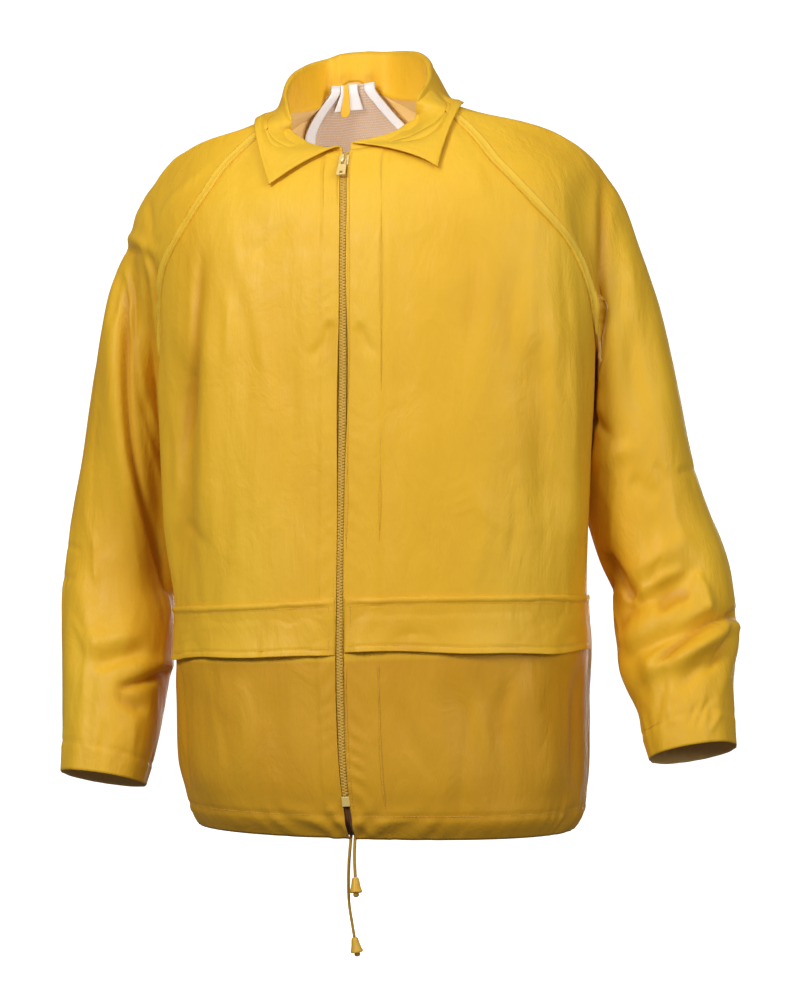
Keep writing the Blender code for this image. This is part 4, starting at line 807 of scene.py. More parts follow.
def photo_creases(points, normals, table):
    """How far the table's creases push the points that face the camera, in metres: a bell across
    each path, narrower on its far side, eased in at its start and out at its end."""
    x, y = in_photo(points)
    push = np.zeros(x.shape)
    for path, width, depth, far, start, end in table:
        off, along = beside_path(x, y, path)
        wide = np.where(off > 0, width * far, width) / PIXEL
        fade = (ease(along / start) if start else 1.0) * (ease((1 - along) / end) if end else 1.0)
        push = push + depth * bump(off / wide) * fade
    return push * faces_camera(normals)


# Painted shade: soft places painted a deeper colour where the cloth lies in shade, in pixels of the camera's
# view: centre, half width, half height, amount.
PAINTED_SHADE_PLACES = (
    (513, 320, 34, 90, 0.05), (560, 165, 66, 34, 0.05), (330, 343, 14, 26, 0.16), (358, 341, 14, 26, 0.12),
    (600, 250, 12, 100, 0.30), (189, 420, 14, 150, 0.30), (203, 262, 15, 60, 0.14),
    (540, 725, 56, 100, 0.08), (618, 602, 18, 36, 0.45), (588, 430, 9, 160, 0.20), (690, 650, 30, 9, 0.16),
    (150, 440, 18, 170, 0.22), (134, 330, 9, 70, 0.25), (612, 590, 14, 50, 0.30), (603, 350, 8, 120, 0.30),
    (135, 700, 26, 9, 0.20), (640, 690, 16, 34, 0.14), (345, 450, 14, 130, 0.14), (590, 740, 12, 110, 0.40),
)


def painted_fold_shading(points, normals, push):
    """Painted shading: the colour is painted deeper in troughs as painted shade and paler on ridges as
    painted highlight, plus the painted shade of the soft places above on what faces the camera."""
    x, y = in_photo(points)
    facing = faces_camera(normals)
    painted_shade = ((-push - 0.0022) / 0.0070).clip(0.0, 0.55) - (push / 0.020).clip(0.0, 0.10)
    for px, py, wide, high, amount in PAINTED_SHADE_PLACES:
        painted_shade = painted_shade + amount * bump((x - px) / wide) * bump((y - py) / high) * facing
    return painted_shade


def crumples(u, v, seed, count, depth, width=0.006, lean=0.35, span=(0.03, 0.11)):
    """Short soft lines at random places on a sheet of u by v metres, mostly running up and down."""
    rng = np.random.default_rng(seed)
    low, high = np.array([u.min(), v.min()]), np.array([u.max(), v.max()])
    push = np.zeros(np.broadcast(u, v).shape)
    for _ in range(count):
        u0, v0 = rng.uniform(low, high)
        length, turn = rng.uniform(*span), rng.normal(0.0, lean)
        size, wide = depth * rng.normal(0.0, 1.0), width * rng.uniform(0.7, 1.9)
        end = u0 + length * math.sin(turn), v0 + length * math.cos(turn)
        push = push + soft_line(u, v, u0, v0, *end, wide, size)
    return push


# %% [markdown]
# ## Fronts and back
#
# Each front runs from the zip to the side seam, and above the underarm to the raglan seam. Its edge
# along the zip is folded back into a facing and sewn down, so a ridge runs a finger's width from the
# edge, and the sewing draws the cloth into small puckers. The hem is folded up into a 24 mm channel
# for the cord, which gathers it a little.

# %% Front and back panels
HEM_CHANNEL = 0.024
FLAP_BOTTOM_Z = -0.561
CLOTH_WALL = 0.0009
LOWER_PANEL_SHADE = 0.60  # painted shade on the panel under the flap, which lies in less light
FRONT_AREA = {1: 0.210, -1: 0.197}  # square metres of cloth, on the wearer's left and right
FACING = {1: 0.036, -1: 0.019}  # its inner edge, from the zip, on the wearer's left and right
FRONT_CREASES = (
    (((203, 232), (196, 300), (190, 390), (181, 500)), 0.0075, -0.0034, 0.55, 0.25, 0.35),
    (((222, 262), (228, 320), (219, 400)), 0.0065, 0.0011, 1.0, 0.4, 0.5),
    (((236, 250), (246, 340), (240, 440)), 0.0100, -0.0012, 1.0, 0.4, 0.5),
    (((268, 300), (262, 420), (256, 560)), 0.0130, 0.0016, 1.0, 0.4, 0.4),
    (((290, 340), (296, 450), (286, 580)), 0.0120, -0.0013, 1.0, 0.4, 0.4),
    (((186, 516), (196, 534), (214, 552)), 0.0050, -0.0012, 1.0, 0.3, 0.5),
    (((172, 548), (180, 480), (186, 430)), 0.0090, 0.0024, 0.8, 0.3, 0.5),
    (((298, 212), (270, 240), (236, 262)), 0.0080, -0.0010, 1.0, 0.4, 0.4),
    (((330, 318), (322, 345), (300, 362)), 0.0080, -0.0016, 0.6, 0.2, 0.6),
    (((356, 322), (366, 345), (388, 360)), 0.0080, -0.0014, 0.6, 0.2, 0.6),
    (((430, 220), (418, 330), (440, 450)), 0.0170, 0.0016, 1.0, 0.4, 0.5),
    (((474, 190), (470, 300), (452, 420)), 0.0170, -0.0020, 1.0, 0.4, 0.5),
    (((520, 240), (508, 330), (520, 420)), 0.0130, -0.0022, 1.0, 0.4, 0.5),
    (((560, 290), (553, 380), (563, 470)), 0.0110, 0.0018, 1.0, 0.4, 0.5),
    (((586, 300), (588, 400), (584, 520)), 0.0070, -0.0020, 1.0, 0.3, 0.4),
    (((556, 372), (568, 398), (582, 416)), 0.0034, -0.0009, 1.0, 0.3, 0.4),
    (((548, 396), (562, 424), (580, 452)), 0.0034, -0.0008, 1.0, 0.3, 0.4),
    (((538, 430), (560, 470), (590, 500)), 0.0040, 0.0007, 1.0, 0.3, 0.4),
    (((505, 450), (516, 520), (500, 590)), 0.0060, -0.0010, 1.0, 0.4, 0.4),
    (((470, 470), (486, 530), (470, 590)), 0.0080, 0.0010, 1.0, 0.4, 0.4),
    (((392, 420), (384, 500), (396, 590)), 0.0120, -0.0013, 1.0, 0.4, 0.4),
    (((520, 655), (500, 720), (512, 800)), 0.0100, -0.0020, 1.0, 0.3, 0.5),
    (((455, 660), (480, 720), (500, 790)), 0.0100, 0.0016, 1.0, 0.4, 0.5),
    (((390, 680), (410, 740), (446, 800)), 0.0110, -0.0014, 1.0, 0.4, 0.5),
    (((562, 650), (572, 730), (566, 810)), 0.0100, -0.0022, 1.0, 0.2, 0.4),
    (((240, 665), (246, 740), (232, 806)), 0.0110, 0.0016, 1.0, 0.4, 0.5),
    (((285, 670), (276, 740), (290, 806)), 0.0110, -0.0014, 1.0, 0.4, 0.5),
    (((200, 668), (206, 740), (212, 800)), 0.0090, -0.0016, 1.0, 0.3, 0.5),
)


def panel_rows(below, above, hem_rows=12):
    """Row shares: from hem to underarm, closer together in the hem's channel, then on to the neck."""
    hem = 0.030 / (UNDERARM_Z - HEM_Z)
    low = np.concatenate([np.linspace(0, hem, hem_rows + 1)[:-1], np.linspace(hem, 1, below + 1)[:-1]])
    high = np.linspace(0, 1, above + 1)
    return low[:, None], high[:, None]


def panel_place(share, low, high, which, neck):
    """Height of a panel's points and the angle of its edge there. Above the underarm each row rises
    from the middle's share of the way up to the seam's; neck is the height of the top row."""
    z_low = HEM_Z + (UNDERARM_Z - HEM_Z) * low + 0 * share
    top = seam_height(high, which)
    z_high = UNDERARM_Z + (neck - UNDERARM_Z) * (top - UNDERARM_Z) / (SEAM_TOP[which] - UNDERARM_Z)
    edge = np.concatenate([side_deg(z_low), seam_deg(top, which) + 0 * share])
    return np.concatenate([z_low, z_high]), edge


def front_place(side, f, low, high):
    """Angle and height of the front's points, f from the zip (0) to the side or raglan seam (1)."""
    z, edge = panel_place(f, low, high, "front", FRONT_NECK_Z + (FRONT_SEAM_TOP_Z - FRONT_NECK_Z) * f**1.7)
    start = deg_of(ZIP_OPENING / 2, z)
    return side * (start + (edge - start) * f), z


def back_place(g, low, high):
    """Angle and height of the back's points, g from the wearer's left (-1) to the right (1)."""
    z, edge = panel_place(g, low, high, "back", BACK_NECK_Z + (BACK_SEAM_TOP_Z - BACK_NECK_Z) * g**2)
    return 180.0 + g * (180.0 - edge), z


def hem_relief(u, z):
    """The hem's channel: a groove along its sewing, slanted gathers in it that fade out above, and a
    round of extra thickness over the cord."""
    up = z - HEM_Z
    groove = -0.0007 * bump((up - HEM_CHANNEL) / 0.0022)
    inside = ease((HEM_CHANNEL - up) / 0.006)
    above = bump((up - HEM_CHANNEL) / 0.012)
    phase = u / 0.0036 + 3.4 * np.sin(u / 0.033 + 1.0) + 1.6 * np.sin(u / 0.0113) - up / 0.0050
    gathers = np.sin(phase) * (0.12 + 0.88 * ease(0.35 + 0.7 * np.sin(np.abs(u) / 0.041 + 1.4)))
    depth = 0.0010 * inside * ease((up + 0.004) / 0.010) + 0.0007 * above
    return groove + gathers * depth + 0.0006 * inside


def front_relief(side, deg, z, base, normals):
    """Everything that lies on the front besides its main folds."""
    f_edge = np.abs(base[..., 0] - body(0 * deg, z)[..., 0]) - ZIP_OPENING / 2
    wave = np.sin(z / 0.0030 + 2.6 * np.sin(z / 0.017 + side) + f_edge / 0.004)
    wave = wave * (0.6 + 0.4 * np.sin(z / 0.055 + 2 * side))
    below = 0.3 + 0.7 * ease((FLAP_BOTTOM_Z + 0.01 - z) / 0.02)
    puckers = 0.0008 * below * wave * bump((f_edge - 0.010) / 0.009)
    facing = FACING[side]
    ridge = 0.0007 * ease((facing + 0.0015 - f_edge) / 0.004)
    ridge = ridge - 0.0004 * bump((f_edge - facing - 0.003) / 0.003)
    rolled = 0.0006 * bump(f_edge / 0.0022)
    away = run_across(deg, z)
    small = crumples(side * away, z, 11 + side, 90, 0.0005, 0.008, 0.16, (0.10, 0.30))
    seam, sewn = beside_seams(deg, z)
    creases = photo_creases(base, normals, FRONT_CREASES)
    top = ease((0.004 + FRONT_NECK_Z - z + 0.03) / 0.03)
    lain = (small + 1.5 * creases) * seam + hem_relief(away, z) * seam
    return (puckers + ridge + rolled) * top + lain + sewn


def run_across(deg, z):
    """Metres round the cloth from the zip, near enough for small folds."""
    return np.abs(deg) * DEG_TO_M + 0 * z


def seam_distance(deg, z):
    """Metres from a point of the body to its side or raglan seam, along the cloth's width."""
    around = np.abs((deg + 180.0) % 360.0 - 180.0)
    high = z > UNDERARM_Z
    front = np.where(high, seam_deg(z, "front"), side_deg(z))
    back = np.where(high, seam_deg(z, "back"), side_deg(z))
    return np.where(around <= (front + back) / 2, front - around, around - back).clip(0) * DEG_TO_M


def beside_seams(deg, z):
    """How free the cloth is of its seams, from 0 on them to 1, and the groove that they sew."""
    away = seam_distance(deg, z)
    return ease(away / 0.016), -0.0007 * bump((away - 0.001) / 0.0022)


def front_surface(side, deg, z):
    """The front's finished face at an angle and height, with its normals and its relief."""
    base, normals = body(deg, z), body_normal(deg, z)
    push = front_relief(side, deg, z, base, normals)
    return base + normals * push[..., None], normals, push


FRONT_SHARES = (np.linspace(0, 1, 105) ** 1.35)[None, :]
LOW, HIGH = panel_rows(120, 62)


def add_front(side, hand):
    deg, z = front_place(side, FRONT_SHARES, LOW, HIGH)
    grid, normals, push = front_surface(side, deg, z)
    # Painted shade: deeper colour in the troughs and shaded places, paler on ridges, and all over the panel
    # under the flap.
    painted_shade = painted_fold_shading(grid, normals, push) + LOWER_PANEL_SHADE * ease((FLAP_BOTTOM_Z + 0.004 - z) / 0.006)
    wavy = 0.0006 * np.sin(z / 0.047 + side) + side * 0.0011 * bump((z + 0.29) / 0.06)
    wavy = wavy * bump(FRONT_SHARES / 0.02) * ease((-0.09 - z) / 0.05)
    grid[..., 0] += wavy
    node_cloth(f"front_{hand}", grid, CLOTH_WALL, "coated_cloth", coated, coated_inside, turn=side,
               painted_shade=painted_shade, flat=(0.37, 0.72), held="stretched", area=FRONT_AREA[side], rests_on=["back"])


def back_relief(deg, z):
    """Crumples and the hem on the back, and a yoke of soft wrinkles between the shoulder blades."""
    away = (deg - 180.0) * DEG_TO_M
    small = crumples(away, z, 31, 190, 0.00095, span=(0.04, 0.16))
    drawn = 0.0012 * np.sin(away / 0.021 + 3.0 * z) * bump((z + 0.10) / 0.05) * bump(away / 0.14)
    seam, sewn = beside_seams(deg, z)
    return (small + drawn + hem_relief(away, z)) * seam * ease((BACK_NECK_Z - z) / 0.02 + 0.2) + sewn


def add_back():
    deg, z = back_place(np.linspace(-1, 1, 161)[None, :], LOW, HIGH)
    push, normals = back_relief(deg, z), body_normal(deg, z)
    grid = body(deg, z) + normals * push[..., None]
    # Painted shade in the troughs and shaded places; the colour also goes deeper towards the bottom.
    painted_shade = painted_fold_shading(grid, normals, push) + 0.10 * ease((-0.52 - z) / 0.1)
    node_cloth("back", grid, CLOTH_WALL, "coated_cloth", coated, coated_inside, painted_shade=painted_shade,
               flat=(0.66, 0.80), held="stretched", area=0.363, rests_on=["front_left", "front_right"])


for side, hand in SIDES:
    add_front(side, hand)
add_back()

# %% [markdown]
# ## Sleeves
#
# A raglan sleeve has no shoulder seam: it starts at the collar and is sewn to the body along two
# slanting seams. Here it is a surface of (turn, way). Turn goes round the arm, from the top of the
# shoulder by the front (+) or the back (-) to the underarm; way runs from the armhole to the cuff. The
# first part is a cubic from the armhole's edge to the first of the arm's rings; the rest is the rings.

# %% Armholes and neckline
ARM_COLUMNS = ("x", "y", "z", "side", "depth", "turn")
ARMS = {
    1: (
        (0.2245, 0.034, -0.170, 0.0540, 0.078, 27.0),
        (0.2385, 0.036, -0.230, 0.0550, 0.076, 27.0),
        (0.2530, 0.038, -0.300, 0.0560, 0.074, 27.0),
        (0.2675, 0.038, -0.370, 0.0580, 0.070, 22.0),
        (0.2905, 0.034, -0.440, 0.0620, 0.066, 12.0),
        (0.3075, 0.028, -0.480, 0.0610, 0.064, 6.0),
        (0.3140, 0.014, -0.520, 0.0630, 0.061, 0.0),
        (0.3180, -0.004, -0.565, 0.0600, 0.058, 0.0),
        (0.3285, -0.020, -0.605, 0.0500, 0.054, 0.0),
        (0.3350, -0.032, -0.640, 0.0460, 0.051, 0.0),
        (0.3385, -0.036, -0.656, 0.0440, 0.050, 0.0),
    ),
    -1: (
        (-0.2195, 0.034, -0.150, 0.0540, 0.078, 27.0),
        (-0.2400, 0.036, -0.220, 0.0550, 0.076, 27.0),
        (-0.2580, 0.038, -0.300, 0.0560, 0.074, 27.0),
        (-0.2710, 0.038, -0.370, 0.0580, 0.070, 22.0),
        (-0.2840, 0.036, -0.440, 0.0610, 0.066, 12.0),
        (-0.2905, 0.026, -0.500, 0.0595, 0.063, 4.0),
        (-0.2855, 0.010, -0.550, 0.0610, 0.060, 0.0),
        (-0.2835, -0.010, -0.600, 0.0555, 0.056, 0.0),
        (-0.2830, -0.026, -0.650, 0.0505, 0.052, 0.0),
        (-0.2870, -0.038, -0.696, 0.0440, 0.050, 0.0),
    ),
}
BODY_ROOM = 0.0045
SLEEVE_SLANT = 0.27
ARM_LEAD = {"front": 0.30, "back": 1.20}
SHOULDER_FALL = {1: 0.34, -1: 0.50}
SHOULDER_PULL = {1: 0.75, -1: 0.28}
CAP_SHARE = 0.40
ARM_SQUARENESS = 2.15
WAY_STRETCH = 1.35  # the cloth's own length to the middle line's, near the cuff
CUFF_HEM = 0.022
CUFF_WAY = 0.945  # from there on to the cuff the rows lie closer together
SLEEVE_COLUMNS = 180


def neck_edges(side):
    """The collar seam's two straight parts on one side: the top rows of the front and the back."""
    f = np.linspace(0, 1, 41)
    only_top = np.zeros((0, 1)), np.array([[1.0]])
    front = body(*front_place(side, f[None, :], *only_top))
    return front[0], body(*back_place(side * np.linspace(1, -1, 81)[None, :], *only_top))[0]


def neck_arc(side, count=41):
    """The collar seam over the top of a sleeve: a cubic from the front raglan seam to the back one."""
    front, back = neck_edges(side)
    start_pull = unit(front[-1] - front[-3]) * NECK_ARC_PULL
    end_pull = unit(back[-3] - back[-1]) * NECK_ARC_PULL
    return hermite(front[-1], start_pull, back[-1], end_pull, np.linspace(0, 1, count))


def neckline(count):
    """The whole collar seam from the zip on the wearer's right round the back to the left."""
    right, back = neck_edges(-1)
    left, _ = neck_edges(1)
    line = np.concatenate([right[:-1], neck_arc(-1)[:-1], back[:0:-1], neck_arc(1)[:0:-1], left[::-1]])
    return along_line(line, np.linspace(0, run_along(line)[-1], count))


def armhole(side):
    """Both halves of the armhole from the middle of the neck arc down to the underarm: points, the way
    the sleeve leaves them, and the number of the point at the collar seam."""
    arc = neck_arc(side)
    middle = len(arc) // 2
    outward = np.array([side, 0.0, 0.0])
    halves = {}
    for which, top in (("front", arc[middle::-1]), ("back", arc[middle:])):
        rise = np.linspace(1, 0, 121)
        z = seam_height(rise, which)
        deg = side * seam_deg(z, which)
        seam, normal = body(deg, z), body_normal(deg, z)
        leave = np.cross(unit(np.gradient(seam, axis=0)), normal)
        arm = square_to(np.array([0.55 * side, 0.0, -0.83]), normal)
        leave = unit(turned_to(leave, outward) + ARM_LEAD[which] * arm)
        under = ease((0.42 - rise) / 0.42)[:, None]
        leave = unit(leave * (1 - under) + np.array([0.18 * side, 0.05, -1.0]) * under)
        run = unit(np.gradient(top, axis=0))
        flat = unit(np.stack([run[:, 1], -run[:, 0], np.zeros(len(run))], axis=1))
        slope = unit(turned_to(flat, outward) + np.array([0.0, 0.0, -SHOULDER_FALL[side]]))
        points = np.concatenate([top[:-1], seam])
        way = np.concatenate([slope[:-1], leave])
        for _ in range(60):
            way[1:-1] = unit(way[:-2] + 2 * way[1:-1] + way[2:])
        run = run_along(points)
        halves[which] = (points, way, run / run[-1], len(top) - 1)
    return halves


# %% [markdown]
# Main folds of the sleeves stand in the solids too. On them lie the creases that the photo shows: the
# long crease where the right sleeve's front turns in, the folded notch at its shoulder, and on the
# left one the fan of sharp folds that a bent elbow makes.

# %% Folds and creases of the sleeves
# Start across (X) and height, end across and height, width, depth, how much narrower the far side is.
ARM_FOLDS = {
    1: (
        (0.236, -0.070, 0.240, -0.240, 0.014, -0.0070, 1.0),
        (0.262, -0.110, 0.286, -0.330, 0.017, -0.0070, 1.0),
        (0.284, -0.150, 0.322, -0.400, 0.016, 0.0045, 1.0),
        (0.262, -0.515, 0.345, -0.470, 0.012, -0.0080, 1.0),
        (0.262, -0.485, 0.330, -0.440, 0.012, 0.0045, 1.0),
        (0.270, -0.560, 0.372, -0.512, 0.010, -0.0080, 0.7),
        (0.276, -0.578, 0.378, -0.534, 0.011, 0.0065, 1.0),
        (0.330, -0.590, 0.380, -0.530, 0.009, -0.0050, 0.8),
        (0.252, -0.545, 0.285, -0.580, 0.012, -0.0040, 1.0),
    ),
    -1: (
        (-0.268, -0.120, -0.228, -0.330, 0.013, -0.0090, 1.0),
        (-0.228, -0.330, -0.232, -0.500, 0.014, -0.0100, 1.0),
        (-0.282, -0.160, -0.256, -0.440, 0.018, 0.0055, 1.0),
        (-0.290, -0.575, -0.240, -0.560, 0.012, -0.0070, 0.6),
        (-0.300, -0.555, -0.242, -0.542, 0.013, 0.0040, 1.0),
        (-0.332, -0.480, -0.318, -0.600, 0.014, 0.0030, 1.0),
    ),
}
ARM_BACK_FOLDS = {
    1: (
        (0.230, -0.090, 0.262, -0.300, 0.018, -0.0065, 1.0),
        (0.290, -0.150, 0.320, -0.380, 0.018, -0.0050, 1.0),
        (0.262, -0.480, 0.350, -0.455, 0.013, -0.0060, 1.0),
        (0.268, -0.530, 0.360, -0.500, 0.014, 0.0050, 1.0),
        (0.276, -0.560, 0.372, -0.560, 0.012, -0.0050, 1.0),
    ),
    -1: (
        (-0.226, -0.100, -0.250, -0.310, 0.018, -0.0065, 1.0),
        (-0.284, -0.150, -0.300, -0.380, 0.018, -0.0050, 1.0),
        (-0.340, -0.500, -0.250, -0.470, 0.013, -0.0060, 1.0),
        (-0.340, -0.545, -0.250, -0.530, 0.014, 0.0045, 1.0),
    ),
}
# Path in the photo, width, depth, how much narrower the far side is, ease in and out.
SLEEVE_CREASES = {
    1: (
        (((604, 166), (602, 250), (597, 345)), 0.0075, -0.0030, 0.6, 0.25, 0.3),
        (((622, 205), (628, 300), (618, 380)), 0.0110, 0.0026, 1.0, 0.3, 0.4),
        (((646, 260), (652, 340), (668, 440)), 0.0100, -0.0018, 1.0, 0.3, 0.4),
        (((595, 418), (603, 430), (614, 440)), 0.0060, -0.0030, 0.6, 0.0, 0.5),
        (((596, 470), (620, 452), (650, 448)), 0.0100, 0.0020, 1.0, 0.2, 0.6),
        (((654, 462), (662, 476), (668, 490)), 0.0045, -0.0012, 0.7, 0.3, 0.4),
        (((676, 474), (688, 470), (700, 470)), 0.0040, -0.0012, 1.0, 0.3, 0.0),
        (((672, 480), (676, 520), (700, 560)), 0.0060, 0.0010, 1.0, 0.3, 0.4),
        (((606, 560), (622, 584), (634, 603)), 0.0080, -0.0060, 0.45, 0.0, 0.2),
        (((614, 632), (624, 618), (636, 603)), 0.0070, -0.0030, 1.0, 0.0, 0.25),
        (((636, 600), (660, 582), (690, 568)), 0.0075, 0.0036, 0.8, 0.2, 0.3),
        (((690, 570), (704, 590), (711, 618)), 0.0065, 0.0030, 0.7, 0.25, 0.2),
        (((650, 612), (676, 596), (698, 596)), 0.0095, -0.0050, 0.9, 0.3, 0.3),
        (((737, 612), (716, 620), (692, 634), (646, 667)), 0.0052, -0.0050, 0.6, 0.0, 0.25),
        (((735, 626), (700, 648), (664, 676)), 0.0085, 0.0042, 1.0, 0.0, 0.35),
        (((716, 604), (690, 620), (664, 640)), 0.0070, 0.0024, 1.0, 0.2, 0.4),
        (((736, 614), (722, 648), (702, 677)), 0.0058, -0.0034, 0.6, 0.0, 0.3),
        (((738, 640), (728, 668), (722, 700)), 0.0060, 0.0018, 1.0, 0.0, 0.4),
        (((637, 652), (640, 680), (646, 704)), 0.0070, -0.0020, 1.0, 0.3, 0.4),
        (((690, 722), (696, 708), (702, 698)), 0.0034, -0.0012, 0.7, 0.0, 0.5),
        (((699, 724), (706, 706), (716, 694)), 0.0034, -0.0012, 0.7, 0.0, 0.5),
        (((712, 728), (718, 716), (722, 706)), 0.0034, 0.0010, 1.0, 0.0, 0.5),
        (((672, 720), (668, 700), (672, 684)), 0.0050, 0.0010, 1.0, 0.0, 0.5),
    ),
    -1: (
        (((126, 262), (124, 300), (124, 345), (131, 450), (150, 530), (172, 606)),
         0.0060, -0.0056, 0.55, 0.12, 0.12),
        (((118, 300), (114, 380), (124, 470), (142, 540)), 0.0110, 0.0030, 1.0, 0.3, 0.4),
        (((137, 246), (146, 300), (152, 350), (162, 440)), 0.0050, -0.0036, 0.7, 0.2, 0.3),
        (((121, 268), (115, 300), (108, 330)), 0.0050, -0.0026, 0.8, 0.2, 0.4),
        (((131, 272), (134, 310), (137, 350)), 0.0034, -0.0024, 0.8, 0.2, 0.4),
        (((126, 262), (127, 300), (128, 345)), 0.0034, 0.0024, 1.0, 0.2, 0.4),
        (((148, 196), (150, 218), (152, 240)), 0.0034, -0.0014, 0.7, 0.3, 0.4),
        (((138, 300), (144, 380), (156, 460), (168, 530)), 0.0070, 0.0034, 0.8, 0.3, 0.3),
        (((124, 250), (133, 252), (144, 248)), 0.0042, -0.0030, 0.7, 0.0, 0.3),
        (((144, 247), (152, 272), (157, 322)), 0.0050, -0.0034, 0.6, 0.2, 0.3),
        (((126, 238), (136, 240), (148, 256)), 0.0070, 0.0026, 1.0, 0.0, 0.4),
        (((141, 388), (152, 436), (164, 474)), 0.0055, -0.0030, 0.7, 0.3, 0.3),
        (((150, 180), (140, 205), (134, 236)), 0.0080, 0.0016, 1.0, 0.3, 0.4),
        (((96, 340), (90, 420), (84, 500)), 0.0120, -0.0016, 1.0, 0.3, 0.4),
        (((78, 560), (88, 620), (102, 680)), 0.0110, 0.0026, 1.0, 0.3, 0.4),
        (((62, 578), (70, 579), (80, 576)), 0.0034, -0.0012, 0.7, 0.0, 0.5),
        (((64, 545), (74, 548), (84, 552)), 0.0034, -0.0009, 0.7, 0.0, 0.5),
        (((166, 672), (144, 680), (110, 688)), 0.0060, -0.0042, 0.5, 0.0, 0.35),
        (((168, 664), (140, 668), (112, 676)), 0.0085, 0.0026, 1.0, 0.0, 0.5),
        (((112, 690), (130, 704), (150, 712)), 0.0080, -0.0028, 0.8, 0.3, 0.3),
        (((120, 600), (128, 650), (140, 664)), 0.0100, 0.0014, 1.0, 0.4, 0.4),
        (((84, 744), (82, 730), (88, 714)), 0.0040, 0.0008, 1.0, 0.0, 0.5),
        (((100, 746), (104, 732), (102, 716)), 0.0040, -0.0008, 1.0, 0.0, 0.5),
        (((124, 746), (122, 730), (128, 718)), 0.0040, 0.0008, 1.0, 0.0, 0.5),
    ),
}


